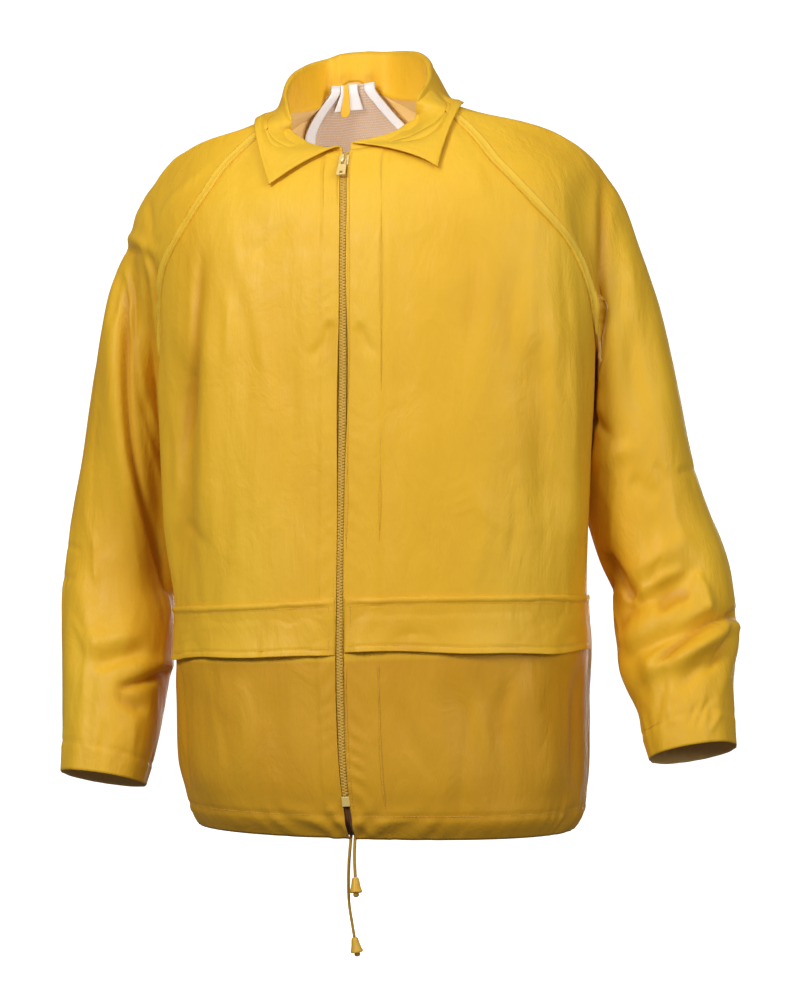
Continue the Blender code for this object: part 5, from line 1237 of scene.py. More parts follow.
# %% The sleeve as a function of turn and way
class Sleeve:
    """One sleeve, +1 on the wearer's left. Its functions take whole arrays of (turn, way)."""

    def __init__(self, side):
        self.side, self.rows, self.halves = side, ARMS[side], armhole(side)
        self.run = run_along(np.array([row[:3] for row in self.rows]))
        self.length = self.run[-1]

    def arm_column(self, run, name):
        return smooth(run, self.run, column(self.rows, ARM_COLUMNS, name))

    def centre(self, run):
        return np.stack([self.arm_column(run, axis) for axis in ("x", "y", "z")], axis=-1)

    def ring(self, turn, down):
        """The arm's rings: a superellipse square to the arm's middle line."""
        turn, down = paired(turn, down)
        run = down * self.length
        before, after = np.clip(run - 0.004, 0, None), np.clip(run + 0.004, None, self.length)
        axis = unit(self.centre(after) - self.centre(before))
        angle = np.radians(self.arm_column(run, "turn"))
        zero = np.zeros_like(angle)
        out = np.stack([self.side * np.cos(angle), np.sin(angle), zero], axis=-1)
        out = unit(square_to(out, axis))
        front = np.stack([self.side * np.sin(angle), -np.cos(angle), zero], axis=-1)
        front = unit(square_to(square_to(front, axis), out))
        c, s = np.cos(np.pi * turn), np.sin(np.pi * turn)
        c, s = (np.sign(v) * np.abs(v) ** (2 / ARM_SQUARENESS) for v in (c, s))
        wide, deep = self.arm_column(run, "side") * c, self.arm_column(run, "depth") * s
        return self.centre(run) + out * wide[..., None] + front * deep[..., None]

    def start(self, turn):
        """Where the sleeve leaves the armhole, and which way."""
        turn = np.asarray(turn, float)
        place, way = np.zeros(turn.shape + (3,)), np.zeros(turn.shape + (3,))
        for which, sign in (("front", 1), ("back", -1)):
            points, leave, share, _ = self.halves[which]
            here = (turn >= 0) if sign > 0 else (turn < 0)
            at = np.abs(turn[here])
            place[here], way[here] = between(at, share, points), between(at, share, leave)
        return place, unit(way)

    def bare(self, turn, way):
        """The sleeve without folds: a cubic from the armhole to the rings, then the rings."""
        turn, way = paired(turn, way)
        place, leave = self.start(turn)
        join_down = SLEEVE_SLANT * (1 - np.cos(np.pi * turn)) / 2
        first = self.ring(turn, join_down)
        onward = unit(self.ring(turn, join_down + 0.02) - first)
        reach = np.linalg.norm(first - place, axis=-1, keepdims=True)
        top = np.cos(np.pi * turn / 2)[..., None] ** 2
        cap = hermite(place, leave * reach * (0.80 + SHOULDER_PULL[self.side] * top), first,
                      onward * reach * (0.90 + 0.60 * top), np.clip(way / CAP_SHARE, 0, 1))
        down = np.clip((way - CAP_SHARE) / (1 - CAP_SHARE), 0, 1)
        tube = self.ring(turn, join_down + (1 - join_down) * down)
        return self.beside_body(way, np.where((way <= CAP_SHARE)[..., None], cap, tube))

    def beside_body(self, way, points):
        """The points, kept outside the body's side by a gap that opens from nothing at the seam."""
        x, y, z = (points[..., k] for k in range(3))
        gap = BODY_ROOM * ease(way / 0.045)
        least = self.side * body_side(self.side, y, z - tilt(x, z)) + gap
        here = self.side * x
        soft = least + (here - least + np.sqrt((here - least) ** 2 + (0.25 * gap) ** 2)) / 2
        below = ease((-0.13 - z) / 0.05) * ease(way / 0.02)
        out = points.copy()
        out[..., 0] = self.side * (here + (soft - here) * below)
        return out

    def main_folds(self, turn, way, points):
        """The sum of the main folds, which leave the armhole seam and the cuff alone."""
        round_it = np.sin(np.pi * turn)
        total = np.zeros(points.shape[:-1])
        for rows, facing in ((ARM_FOLDS, round_it), (ARM_BACK_FOLDS, -round_it)):
            shows = ease((facing + 0.15) / 0.5)
            for row in rows[self.side]:
                total = total + shows * soft_line(points[..., 0], points[..., 2], *row)
        return total * ease(way / 0.10) * ease((1.0 - way) / 0.06)

    def normal(self, turn, way):
        """Outward normal of the bare sleeve, from its slopes."""
        turn, way = paired(turn, way)
        along_turn = self.bare(turn + 0.004, way) - self.bare(turn - 0.004, way)
        lower, upper = np.clip(way - 0.004, 0, 1), np.clip(way + 0.004, 0, 1)
        return unit(np.cross(along_turn, self.bare(turn, upper) - self.bare(turn, lower))) * self.side

    def relief(self, turn, way, points, normals):
        """Creases from the photo, crumples, gathers above the cuff and the groove of its sewing."""
        left = (1 - way) * (1 - CAP_SHARE / 3) * self.length * WAY_STRETCH
        hem = left - CUFF_HEM
        round_it = turn * 0.30
        sewn = -0.0006 * bump(hem / 0.0020)
        phase = round_it / 0.0075 + 1.4 * np.sin(round_it / 0.022 + self.side)
        gathers = np.sin(phase) * (0.0006 * bump((hem - 0.004) / 0.010) + 0.0004 * ease(-hem / 0.004))
        thick = 0.0004 * ease(-hem / 0.0015)
        small = crumples(round_it, way * 0.75, 50 + self.side, 150, 0.00085) * ease((1 - way) / 0.06)
        behind = crumples(round_it, way * 0.75, 70 + self.side, 26, 0.0016, 0.010, 0.9, (0.04, 0.12))
        behind = behind * ease((-normals @ TO_CAMERA + 0.1) / 0.4) * ease((1 - way) / 0.12)
        creases = photo_creases(points, normals, SLEEVE_CREASES[self.side])
        from_seam = ease(way / 0.06)
        return (1.5 * creases + small + behind) * from_seam + gathers + thick + sewn

    def face(self, turn, way):
        """The finished face, with its normals and its relief."""
        turn, way = paired(turn, way)
        points, normals = self.bare(turn, way), self.normal(turn, way)
        points = points + normals * self.main_folds(turn, way, points)[..., None]
        push = self.relief(turn, way, points, normals)
        return points + normals * push[..., None], normals, push

    def at(self, turn, way):
        return self.face(turn, way)[0]


def sleeve_ways(cap_rows, arm_rows, hem_rows):
    """Ways for the sleeve's rows, closer together at the armhole and in the cuff's hem."""
    cap = CAP_SHARE * np.linspace(0, 1, cap_rows + 1)[:-1] ** 1.25
    arm = np.linspace(CAP_SHARE, CUFF_WAY, arm_rows + 1)[:-1]
    return np.concatenate([cap, arm, np.linspace(CUFF_WAY, 1, hem_rows + 1)])


def add_sleeve(side, hand):
    sleeve = Sleeve(side)
    turns = np.linspace(-1, 1, SLEEVE_COLUMNS + 1)[:-1]
    grid, normals, push = sleeve.face(turns[None, :], sleeve_ways(64, 120, 16)[:, None])
    # Painted shade in the sleeve's troughs and shaded places, painted highlight on its ridges.
    painted_shade = painted_fold_shading(grid, normals, push)
    node_cloth(f"sleeve_{hand}", grid, CLOTH_WALL, "coated_cloth", coated, coated_inside, turn=side,
               closed=True, painted_shade=painted_shade, flat=(0.60, 0.82), held="stretched", area=0.287, rests_on=["back"])
    length = float(run_along(grid[:, SLEEVE_COLUMNS // 2])[-1])
    print(hand, "sleeve is", round(length, 3), "m along the top of the shoulder")
    return sleeve


SLEEVES = {side: add_sleeve(side, hand) for side, hand in SIDES}

# %% [markdown]
# ## Felled raglan seams
#
# The raglan seams are felled: the two edges are folded into each other and sewn flat with two rows, so
# a band of doubled cloth lies along the sleeve's side of the seam. It is cut from the sleeve's own
# surface between two distances from the seam, and lifted by its thickness, with rounded edges.

# %% Felled seams
WELT_WIDTH, WELT_IN = 0.0100, 0.0010
WELT_START = {"front": 0.006, "back": 0.120}
WELT_END = {"front": 0.86, "back": 0.90}
WELT_SECTION = (
    (-0.02, -0.0004), (0.0, 0.0003), (0.05, 0.0009), (0.15, 0.0011), (0.24, 0.0008), (0.5, 0.0009),
    (0.76, 0.0008), (0.85, 0.0011), (0.96, 0.0009), (1.0, 0.0003), (1.02, -0.0004),
)


def beside_seam(sleeve, turns, distances, heights):
    """Points of a sleeve at distances from its seam, lifted by heights: the way to each distance is
    found from the metres that one step of way covers there."""
    step = 0.004
    metres = np.linalg.norm(sleeve.at(turns, step) - sleeve.at(turns, 0.0), axis=-1) / step
    way = distances / metres
    start, middle, end = (sleeve.at(turns, way * share) for share in (0.0, 0.5, 1.0))
    metres = np.linalg.norm(end - middle, axis=-1) + np.linalg.norm(middle - start, axis=-1)
    metres = metres / np.maximum(way, 1e-6)
    way = np.where(distances > 1e-5, distances / np.maximum(metres, 1e-6), way)
    return sleeve.at(turns, way) + sleeve.normal(turns, way) * heights[..., None]


def welt_turns(sleeve, which, count):
    sign = 1 if which == "front" else -1
    _, _, share, corner = sleeve.halves[which]
    first, last = share[corner] + WELT_START[which], WELT_END[which]
    return sign * np.linspace(first, last, count)


def add_welts():
    section = np.array(WELT_SECTION)
    for side, hand in SIDES:
        for which in ("front", "back"):
            turns = welt_turns(SLEEVES[side], which, 110)[:, None]
            grid = beside_seam(SLEEVES[side], turns, WELT_IN + WELT_WIDTH * section[None, :, 0].clip(0),
                               section[None, :, 1] + 0 * turns)
            flip = (1 if which == "front" else -1) * side > 0
            grid = grid[:, ::-1] if flip else grid
            piece = cloth_piece(f"felled_seam_{which}_{hand}", grid, 0.0005, "coated_cloth", coated_double)
            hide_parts(f"welt_{which}_{hand}")


add_welts()

# %% [markdown]
# ## Collar
#
# The collar is one piece of two layers: its stand rises from the neck seam, rolls over and falls as a
# leaf with two points. The surface follows that way: up to the rim, round part of a small circle, then
# a cubic to the leaf's edge, whose place is in a table. A Shrinkwrap modifier keeps the leaf outside
# the shoulders by the room it is given. It is used in turn with smoothing, a few times over, so that
# the leaf lies like a stretched skin and takes few steps from the seams below.

# %% Collar
# By share of the way from the centre back (0) to the zip (1): height of the rim, outward lean of the
# stand, radius of the roll, then the leaf's free edge: out from the neck's centre, along Y, and Z.
COLLAR_COLUMNS = ("way", "rim", "lean", "roll", "edge_out", "edge_y", "edge_z")
COLLAR = (
    (0.00, 0.0820, -0.0030, 0.0045, 0.0000, 0.099, 0.024),
    (0.10, 0.0806, -0.0035, 0.0050, 0.0300, 0.096, 0.020),
    (0.20, 0.0756, -0.0045, 0.0055, 0.0560, 0.084, 0.014),
    (0.30, 0.0665, -0.0060, 0.0060, 0.0760, 0.062, 0.009),
    (0.40, 0.0520, -0.0090, 0.0060, 0.0900, 0.036, 0.004),
    (0.50, 0.0310, -0.0165, 0.0050, 0.0950, 0.007, -0.006),
    (0.60, 0.0100, -0.0290, 0.0042, 0.0970, -0.023, -0.018),
    (0.70, -0.0085, -0.0340, 0.0038, 0.0965, -0.048, -0.032),
    (0.80, -0.0215, -0.0270, 0.0036, 0.0940, -0.074, -0.049),
    (0.90, -0.0360, -0.0110, 0.0034, 0.0905, -0.096, -0.064),
    (1.00, -0.0445, 0.0005, 0.0030, 0.0863, -0.118, -0.078),
)
LEFT_TIP_DOWN = 0.010  # the leaf's point on the wearer's left hangs that much lower
COLLAR_ROOM = 0.0050  # of the leaf's face from the cloth below it
DRAPE_ROUNDS = (30, 20, 14, 10, 10, 44)  # of smoothing, after each time the leaf is laid on
COLLAR_COUNT = 261
COLLAR_STITCH = 0.0062  # of the sewn row from the leaf's edge and its ends
STAND_STEPS, ROLL_STEPS, LEAF_STEPS = 10, 10, 34
COLLAR_CREASES = (
    (((330, 66), (340, 72), (352, 80)), 0.0035, -0.0012, 0.7, 0.3, 0.3),
    (((345, 60), (358, 68), (372, 74)), 0.0035, 0.0012, 1.0, 0.3, 0.3),
    (((392, 58), (404, 66), (412, 78)), 0.0040, -0.0012, 0.7, 0.3, 0.3),
    (((300, 72), (312, 78), (322, 88)), 0.0040, 0.0010, 1.0, 0.3, 0.3),
    (((410, 58), (424, 66), (430, 78)), 0.0040, 0.0012, 1.0, 0.3, 0.3),
    (((276, 150), (292, 146), (312, 148)), 0.0060, 0.0010, 1.0, 0.3, 0.3),
    (((400, 118), (412, 132), (420, 150)), 0.0070, -0.0010, 1.0, 0.3, 0.3),
    (((436, 90), (430, 112), (424, 140)), 0.0070, 0.0012, 1.0, 0.3, 0.3),
)


def collar_grid(columns):
    """The collar's showing face: inside on the stand, outside on the leaf. Rows run from the seam up
    the stand, over the roll (part of a circle) and down the leaf (a cubic to the edge)."""
    share = np.linspace(-1, 1, columns)
    side, way = np.where(share < 0, -1.0, 1.0), np.abs(share)
    ways = column(COLLAR, COLLAR_COLUMNS, "way")
    rim, lean, roll, edge_out, edge_y, edge_z = (
        smooth(way, ways, column(COLLAR, COLLAR_COLUMNS, name)) for name in COLLAR_COLUMNS[1:]
    )
    edge_z = edge_z - LEFT_TIP_DOWN * (side > 0) * ease((way - 0.55) / 0.45)
    seam = neckline(columns)
    run = unit(np.gradient(seam, axis=0))
    out = unit(np.stack([-run[:, 1], run[:, 0], np.zeros(columns)], axis=1))
    up = np.array([0.0, 0.0, 1.0])
    edge_x, edge_y = turned(NECK_CENTRE_X + side * edge_out, edge_y, NECK_TURN_DEG)
    edge = np.stack([edge_x, edge_y, edge_z + tilt(edge_x, edge_z)], axis=1)
    base = seam - up * 0.0006
    stand = (rim + side * 0.004 * ease(way / 0.35) - roll - base[:, 2]).clip(0.0005)
    lean = lean + 0.005 * (1 - side) * bump((way - 0.58) / 0.28)
    roll = roll[:, None]
    t = np.linspace(0, 1, STAND_STEPS)[:, None, None]
    rise = base + up * stand[:, None] * t + out * lean[:, None] * t**1.5
    way_down = edge - rise[-1]
    flat = np.linalg.norm(way_down[:, :2], axis=1, keepdims=True)
    outward = unit(way_down * (1.0, 1.0, 0.0))
    steep = 1.15 - 0.40 * ease((way - 0.30) / 0.25)[:, None]
    last = (np.pi / 2 + steep * np.arctan2(-way_down[:, 2:], flat)).clip(0.5, np.pi)
    angle = last * np.linspace(0, 1, ROLL_STEPS + 1)[1:, None, None]
    over = rise[-1] + outward * roll * (1 - np.cos(angle)) + up * roll * np.sin(angle)
    start = over[-1]
    reach = np.linalg.norm(edge - start, axis=1, keepdims=True)
    pull = unit(outward * np.sin(last) + up * np.cos(last)) * reach
    t = np.linspace(0, 1, LEAF_STEPS + 1)[1:, None] * np.ones(columns)
    leaf = hermite(start, pull, edge, edge - start, t)
    puff = 0.009 * bump((way - 0.68) / 0.28)
    leaf = leaf + up * (puff * np.sin(np.pi * t))[..., None]
    return np.concatenate([rise, over, leaf])


def outside_cloth():
    """The outer faces that the collar lies on, as one mesh object without a wall."""
    grids = []
    for side in (1, -1):
        deg, z = front_place(side, FRONT_SHARES, LOW, HIGH)
        grids.append((body(deg, z)[LOW.size // 2:, ::side], False))
        turns = np.linspace(-1, 1, 121)[:-1]
        sleeve = SLEEVES[side].at(turns[None, :], np.linspace(0, 0.5, 80)[:, None])
        grids.append((sleeve if side > 0 else sleeve[:, ::-1], True))
    deg, z = back_place(np.linspace(-1, 1, 121)[None, :], LOW, HIGH)
    grids.append((body(deg, z)[LOW.size // 2:], False))
    points = np.concatenate([grid.reshape(-1, 3) for grid, _ in grids])
    faces, first = [], 0
    for grid, closed in grids:
        number = first + numbers(*grid.shape[:2])
        faces.append(corners(closed_up(number) if closed else number).reshape(-1, 4))
        first += number.size
    mesh = bpy.data.meshes.new("under_collar")
    mesh.from_pydata(points, [], np.concatenate(faces))
    return new_object("under_collar", mesh)


def past_seam(grid):
    """How far points are outside the neck seam, seen from above: from 0 inside it to 1 past it."""
    seam = neckline(grid.shape[1])
    run = unit(np.gradient(seam, axis=0))
    gap = grid[..., None, :2] - seam[:, :2]
    near = np.argmin((gap**2).sum(-1), axis=-1)
    gap = grid[..., :2] - seam[near][..., :2]
    return ease((gap[..., 1] * run[near][..., 0] - gap[..., 0] * run[near][..., 1] + 0.002) / 0.014)


def laid_on(grid, under, room, first_row):
    """The grid again, its rows from first_row on kept that far outside the cloth under them."""
    laid = new_object("laid", grid_mesh("laid", grid))
    wrap = laid.modifiers.new("on_shoulders", "SHRINKWRAP")
    wrap.target, wrap.offset = under, room
    wrap.wrap_method, wrap.wrap_mode = "NEAREST_SURFACEPOINT", "OUTSIDE"
    shape = laid.evaluated_get(bpy.context.evaluated_depsgraph_get()).to_mesh()
    points = np.empty(grid.size, np.float32)
    shape.vertices.foreach_get("co", points)
    bpy.data.objects.remove(laid)
    down = (np.arange(len(grid)) - first_row)[:, None] / LEAF_STEPS
    part = np.maximum(past_seam(grid), ease((down - 0.60) / 0.36)) * (down >= 0)
    return grid + (points.reshape(grid.shape) - grid) * part[..., None]


def grid_normals(grid):
    """Normals at a grid's points, from its own slopes."""
    return unit(np.cross(np.gradient(grid, axis=1), np.gradient(grid, axis=0)))


def smoothed(grid, rounds):
    """The grid's inside points moved half way to the mean of their neighbours, a few times, and
    those of its last row along that row."""
    out = grid.copy()
    for _ in range(rounds):
        mean = (out[:-2, 1:-1] + out[2:, 1:-1] + out[1:-1, :-2] + out[1:-1, 2:]) / 4
        out[1:-1, 1:-1] = (out[1:-1, 1:-1] + mean) / 2
        out[-1, 1:-1] = (2 * out[-1, 1:-1] + out[-1, :-2] + out[-1, 2:]) / 4
    return out


def add_collar():
    grid = collar_grid(COLLAR_COUNT)
    under = outside_cloth()
    leaf = STAND_STEPS + ROLL_STEPS
    for rounds in DRAPE_ROUNDS:
        grid[leaf:] = smoothed(laid_on(grid, under, COLLAR_ROOM, leaf), rounds)[leaf:]
    bpy.data.objects.remove(under)
    normals = -grid_normals(grid)
    u = run_along(grid[leaf])[None, :] + 0 * grid[..., 0]
    v = run_along(grid[:, COLLAR_COUNT // 2])[:, None] + 0 * grid[..., 0]
    small = crumples(u, v, 5, 50, 0.0005, 0.004, 0.8, (0.01, 0.05)).clip(-0.0005, 0.001)
    push = photo_creases(grid, normals, COLLAR_CREASES) + small
    rows = np.arange(len(grid))[:, None]
    away = run_along(grid[::-1])[::-1]
    ends = np.minimum(u, u.max() - u)
    edge = np.minimum(away, ends)
    sewn = -0.0005 * bump((edge - COLLAR_STITCH) / 0.0018) + 0.0004 * bump((edge - 0.003) / 0.003)
    push = push * ease(rows / 3) + sewn * ease((rows - leaf) / 6)
    grid = grid + normals * push[..., None]
    node_cloth("collar", grid, 0.0014, "coated_cloth", coated, coated, turn=-1, flat=(0.56, 0.11),
               held="folded", area=0.056, rests_on=["back", "sleeve_left", "sleeve_right"])
    return grid


COLLAR_FACE = add_collar()

# %% [markdown]
# ## Waist flaps
#
# A flap of doubled cloth is sewn across each front at the waist and falls free below. It follows the
# front's finished face, lifted by its section: a ridge where it is sewn, flat in the middle, and a
# lower edge that stands off in uneven waves. Near the zip it is gathered a little by its sewing.

# %% Flaps
FLAP_TOP_Z = -0.506
FLAP_RISE, FLAP_START, FLAP_END_DEG = 0.007, 0.0048, 2.4
FLAP_SECTION = ((0.00, 0.0006), (0.03, 0.0015), (0.08, 0.0017), (0.12, 0.0009), (0.45, 0.0014),
                (0.80, 0.0032), (1.00, 0.0050))
FLAP_STITCHES = (0.0062, 0.0475)  # two rows, above the flap's lower edge


def flap_face(side, f, share):
    """Points and normals of a flap's outer face, f across from the zip and share down from its top."""
    z = FLAP_TOP_Z + (FLAP_BOTTOM_Z - FLAP_TOP_Z) * share + FLAP_RISE * (1 - f)
    start = deg_of(FLAP_START, z)
    deg = side * (start + (side_deg(z) - FLAP_END_DEG - start) * f)
    base, normals = body(deg, z), body_normal(deg, z)
    section = np.array(FLAP_SECTION)
    off = smooth(share, section[:, 0], section[:, 1]) + CLOTH
    across = run_across(deg, z)
    free = ease((share - 0.25) / 0.75)
    wave = (0.0022 * np.sin(across / 0.031 + 2.1 * side + 1.4 * np.sin(across / 0.083))
            + 0.0012 * np.sin(across / 0.0145 + side)) * free**2
    pulled = np.sin(across / 0.0042 + 6 * share + side) * bump(across / 0.030) * 0.0008 * (1 - 0.5 * free)
    drape = crumples(across, z, 91 + side, 26, 0.0007, 0.006, 0.5, (0.02, 0.06)) * ease(share / 0.2)
    height = -(share - 1) * (FLAP_TOP_Z - FLAP_BOTTOM_Z)
    sewn = sum(-0.0006 * bump((height - row) / 0.0016) for row in FLAP_STITCHES)
    lift = (off + wave.clip(-0.0012) + pulled + drape.clip(-0.0008) + sewn).clip(CLOTH + 0.0004)
    sag = (0.0016 * np.sin(across / 0.047 + side) + 0.0008 * np.sin(across / 0.019)) * free
    ends = ease((across - run_across(start, z)) / 0.012) * ease((1 - f) / 0.06)
    lift = CLOTH + 0.0004 + (lift - CLOTH - 0.0004) * (0.15 + 0.85 * ends)
    points = base + normals * lift[..., None]
    points[..., 2] += sag
    return points, normals, wave + pulled + drape + sewn


def add_flaps():
    f = np.linspace(0, 1, 241)[None, :]
    share = (1 - np.linspace(0, 1, 57))[:, None]
    for side, hand in SIDES:
        grid, normals, push = flap_face(side, f, share)
        # Painted shade in the flap's troughs, on a colour 0.12 deeper all over.
        painted_shade = 0.12 + painted_fold_shading(grid, normals, push)
        length = round(float(run_along(grid[28])[-1]), 3)
        node_cloth(f"flap_{hand}", grid, 0.0011, "coated_cloth", coated, coated, turn=side, painted_shade=painted_shade,
                   flat=(length, 0.056), held="hung", rests_on=[f"front_{hand}"])


add_flaps()

# %% [markdown]
# ## Zip
#
# An open-ended zip with moulded teeth. Each tooth is a small rounded block reaching past the middle,
# and the two rows stand half a pitch apart, so they mesh. All teeth are one mesh: the same few faces
# repeated at each place by array arithmetic.

# %% Tapes and teeth
ZIP_TOP_Z, ZIP_END_Z, TAPE_END_Z = -0.050, -0.700, -0.737
TAPE_WIDTH, TAPE_FACE = 0.0125, -0.0022
CHAIN_TOP = 0.0006
TOOTH_PITCH = 0.0030
# A tooth seen along the zip: across and out.
TOOTH = ((-0.0032, -0.0008), (-0.0032, 0.0006), (-0.0026, 0.0011), (-0.0010, 0.0012), (0.0006, 0.0010),
         (0.0011, 0.0004), (0.0011, -0.0008))


def on_front(x, z, height):
    """Points beside the zip's line at distances along X, that high above the fronts."""
    return off_body(deg_of(x, z), z, height)


def add_tapes():
    z = np.linspace(TAPE_END_Z, ZIP_TOP_Z, 180)[:, None]
    for side, hand in SIDES:
        x = side * np.array([0.00005, 0.0022, 0.0050, 0.0080, 0.0105, TAPE_WIDTH])[None, :]
        ripple = 0.00025 * np.sin(z / 0.009 + side) * ease(np.abs(x) / 0.006)
        grid = on_front(x, z, TAPE_FACE + ripple)
        # Painted shade: the tapes are painted dark below the zip's end, where the gap between the fronts
        # lies in shadow.
        painted_shade = ease((ZIP_END_Z - 0.003 - z) / 0.002) + 0 * x
        node_cloth(f"zip_tape_{hand}", grid, 0.0008, "zip_tape", tape_finish, turn=side, painted_shade=painted_shade,
                   flat=(TAPE_WIDTH, 0.690), held="stretched", rests_on=["zip_chain"])


def repeated(profile, depths, places, across, out, along):
    """One mesh of blocks: the profile at each depth along a block, joined and closed, at every place.
    Returns the points, the faces round the blocks and the caps."""
    profile, depths = np.array(profile), np.array(depths)
    sides, rings = len(profile), len(depths)
    size = depths[:, 1][None, :, None, None]
    block = (places[:, None, None] + across[:, None, None] * profile[None, None, :, 0, None] * size
             + out[:, None, None] * profile[None, None, :, 1, None] * size
             + along[:, None, None] * depths[None, :, 0, None, None])
    ring = numbers(rings, sides)
    first = np.arange(len(places))[:, None, None] * rings * sides
    faces = corners(closed_up(ring)).reshape(-1, 4) + first
    caps = np.stack([ring[0, ::-1], ring[-1]]) + first
    return block.reshape(-1, 3), faces.reshape(-1, 4), caps.reshape(-1, sides)


def block_mesh(name, parts):
    """A mesh of several (points, faces, caps) together."""
    points, faces, first = [], [], 0
    for part, quads, caps in parts:
        points.append(part)
        faces += (quads + first).tolist() + (caps + first).tolist()
        first += len(part)
    mesh = bpy.data.meshes.new(name)
    mesh.from_pydata(np.concatenate(points), [], faces)
    mesh.shade_smooth()
    return mesh


def add_teeth():
    """Two staggered rows of teeth, turned to face each other, on a bed of tape."""
    parts = []
    for side in (1, -1):
        z = np.arange(ZIP_END_Z + 0.0065, ZIP_TOP_Z - 0.001, TOOTH_PITCH)
        z = z + (TOOTH_PITCH / 2 if side < 0 else 0)
        places = on_front(0 * z, z, 0 * z + CHAIN_TOP - 0.0012)
        out = body_normal(0 * z, z)
        along = unit(on_front(0 * z, z + 0.002, 0 * z) - on_front(0 * z, z - 0.002, 0 * z))
        across = np.cross(out, along) * -side
        depths = ((-0.0011, 0.80), (-0.0009, 1.0), (0.0009, 1.0), (0.0011, 0.80))
        parts.append(repeated(TOOTH if side > 0 else TOOTH[::-1], depths, places, across, out, along))
    print("teeth:", sum(len(p[2]) for p in parts) // 2)
    teeth = new_piece("zip_teeth_chain", block_mesh("zip_teeth_chain", parts), "zip_teeth", teeth_finish)
    z = np.linspace(ZIP_END_Z + 0.0055, ZIP_TOP_Z, 120)[:, None]
    x = np.array([-0.0037, -0.0034, -0.0018, 0.0, 0.0018, 0.0034, 0.0037])[None, :]
    bead = on_front(x, z, CHAIN_TOP - 0.0011 + 0.0003 * bump((np.abs(x) - 0.0030) / 0.0008))
    cloth_piece("zip_teeth_bed", bead, 0.0006, "zip_tape", tape_finish)
    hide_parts("zip_chain")


add_tapes()
add_teeth()
for node in ("zip_slider", "zip_pull_tab", "zip_end_box"):
    shown = frame["nodes"][node]
    shown.data.materials.clear()
    shown.data.materials.append(metal_finish)

# %% [markdown]
# ## Mesh panel, its tapes, the label and the loop
#
# Inside the back hangs a knitted mesh panel, sewn down along both raglan seams under white tape. The
# neck label is bare. The hanger loop is a folded strip of the jacket's own cloth with a pointed end.

# %% Inside the back
LINING_BOTTOM_Z, LINING_TOP_Z, LINING_EDGE_DEG = -0.235, 0.050, 2.5
LINING_DEPTH = 0.0050
NECK_LOOK_DEG = 5.0  # the label and the panel's top sit that far round to the wearer's right
BINDING_WIDTH = 0.0105
BACK_NECK_RADIUS = 0.085
BINDING_SECTION = ((0.0, 0.0), (0.02, 0.0007), (0.15, 0.0011), (0.5, 0.0009), (0.85, 0.0011),
                   (0.98, 0.0007), (1.0, 0.0))


def lining_half(z):
    """Half the panel's width in degrees: a little inside the raglan seams, and wider at the neck."""
    return 180.0 - seam_deg(z, "back") - LINING_EDGE_DEG + 10.0 * ease((z + 0.03) / 0.07)


def inside_back(g, z, inward):
    """Points inside the back, g from the wearer's left raglan seam (-1) to the right one (1)."""
    deg = 180.0 + 1.3 * NECK_LOOK_DEG * ease((z + 0.03) / 0.07) + g * lining_half(z)
    return off_body(deg, z, -inward)


def add_lining():
    z = np.linspace(LINING_BOTTOM_Z, LINING_TOP_Z, 70)[:, None]
    g = np.linspace(-1, 1, 90)[None, :]
    sag = 0.0012 * np.sin(g * 9 + 2 * z / 0.1) + 0.0008 * np.sin(z / 0.012 + 3 * g)
    grid = inside_back(g, z, LINING_DEPTH - 0.0004 + sag.clip(-0.0008) * ease((1 - np.abs(g)) / 0.1))
    node_cloth("mesh_lining", grid, 0.0007, "mesh_lining", mesh_finish, flat=(0.34, 0.28), held="hung",
               area=0.075, rests_on=["back"])
    section = np.array(BINDING_SECTION)
    half = lining_half(z)
    for side, hand in SIDES:
        apart = inside_back(-side * (1 - 3.0 / half), z, 0.007) - inside_back(0 * z - side, z, 0.007)
        wide = np.linalg.norm(apart, axis=-1) / 3  # metres to one degree
        g = -side * (1 - section[None, :, 0] * BINDING_WIDTH / wide / half)
        grid = inside_back(g, z, 0.0075 + section[None, :, 1])
        node_cloth(f"mesh_binding_{hand}", grid, 0.0006, "white_tape", white_finish, turn=side,
                   flat=(BINDING_WIDTH, 0.40), held="stretched", rests_on=["mesh_lining"])


def neck_patch(half_width, drop, inward, point=0.0, rows=24, columns=18):
    """A patch at the middle of the back neck, hanging from its top; point draws its end in to a tip."""
    down = np.linspace(1, 0, rows)[:, None]
    across = np.linspace(-1, 1, columns)[None, :]
    tip = 1 - point * ease((down - 0.72) / 0.28) ** 2
    turn = np.degrees(half_width / BACK_NECK_RADIUS) * across * tip
    z = LINING_TOP_Z - drop * down
    deg = 180.0 + NECK_LOOK_DEG + turn
    curl = 0.0008 * down**2 * across**2
    return off_body(deg, z, -(inward + curl))


add_lining()
node_cloth("neck_label", neck_patch(0.0145, 0.0200, 0.0098), 0.0006, "white_tape", white_finish,
           flat=(0.034, 0.024), held="hung", rests_on=["mesh_lining"])
node_cloth("hanger_loop", neck_patch(0.0058, 0.0260, 0.0114, 0.65), 0.0010, "coated_cloth", coated,
           flat=(0.013, 0.030), held="hung", rests_on=["neck_label"])

# %% [markdown]
# ## Sewing
#
# Every row of stitches is thread that lies on the cloth: short rounded bars, one pitch apart along a
# line, slightly sunk. All the yellow ones are one mesh and the white ones another. A line is found
# by asking a piece's own surface for points, so the thread follows each fold.

# %% Stitches
STITCH_PITCH, STITCH_LENGTH, STITCH_RADIUS = 0.0032, 0.0025, 0.00030
ZIP_STITCH = 0.0022  # of the first row from the front's edge at the zip
BACK_DEG_TO_M = 0.0022  # near enough for the rows on the white tapes
ROUND = tuple((math.cos(a), math.sin(a)) for a in np.linspace(0, 2 * np.pi, 6)[:-1])


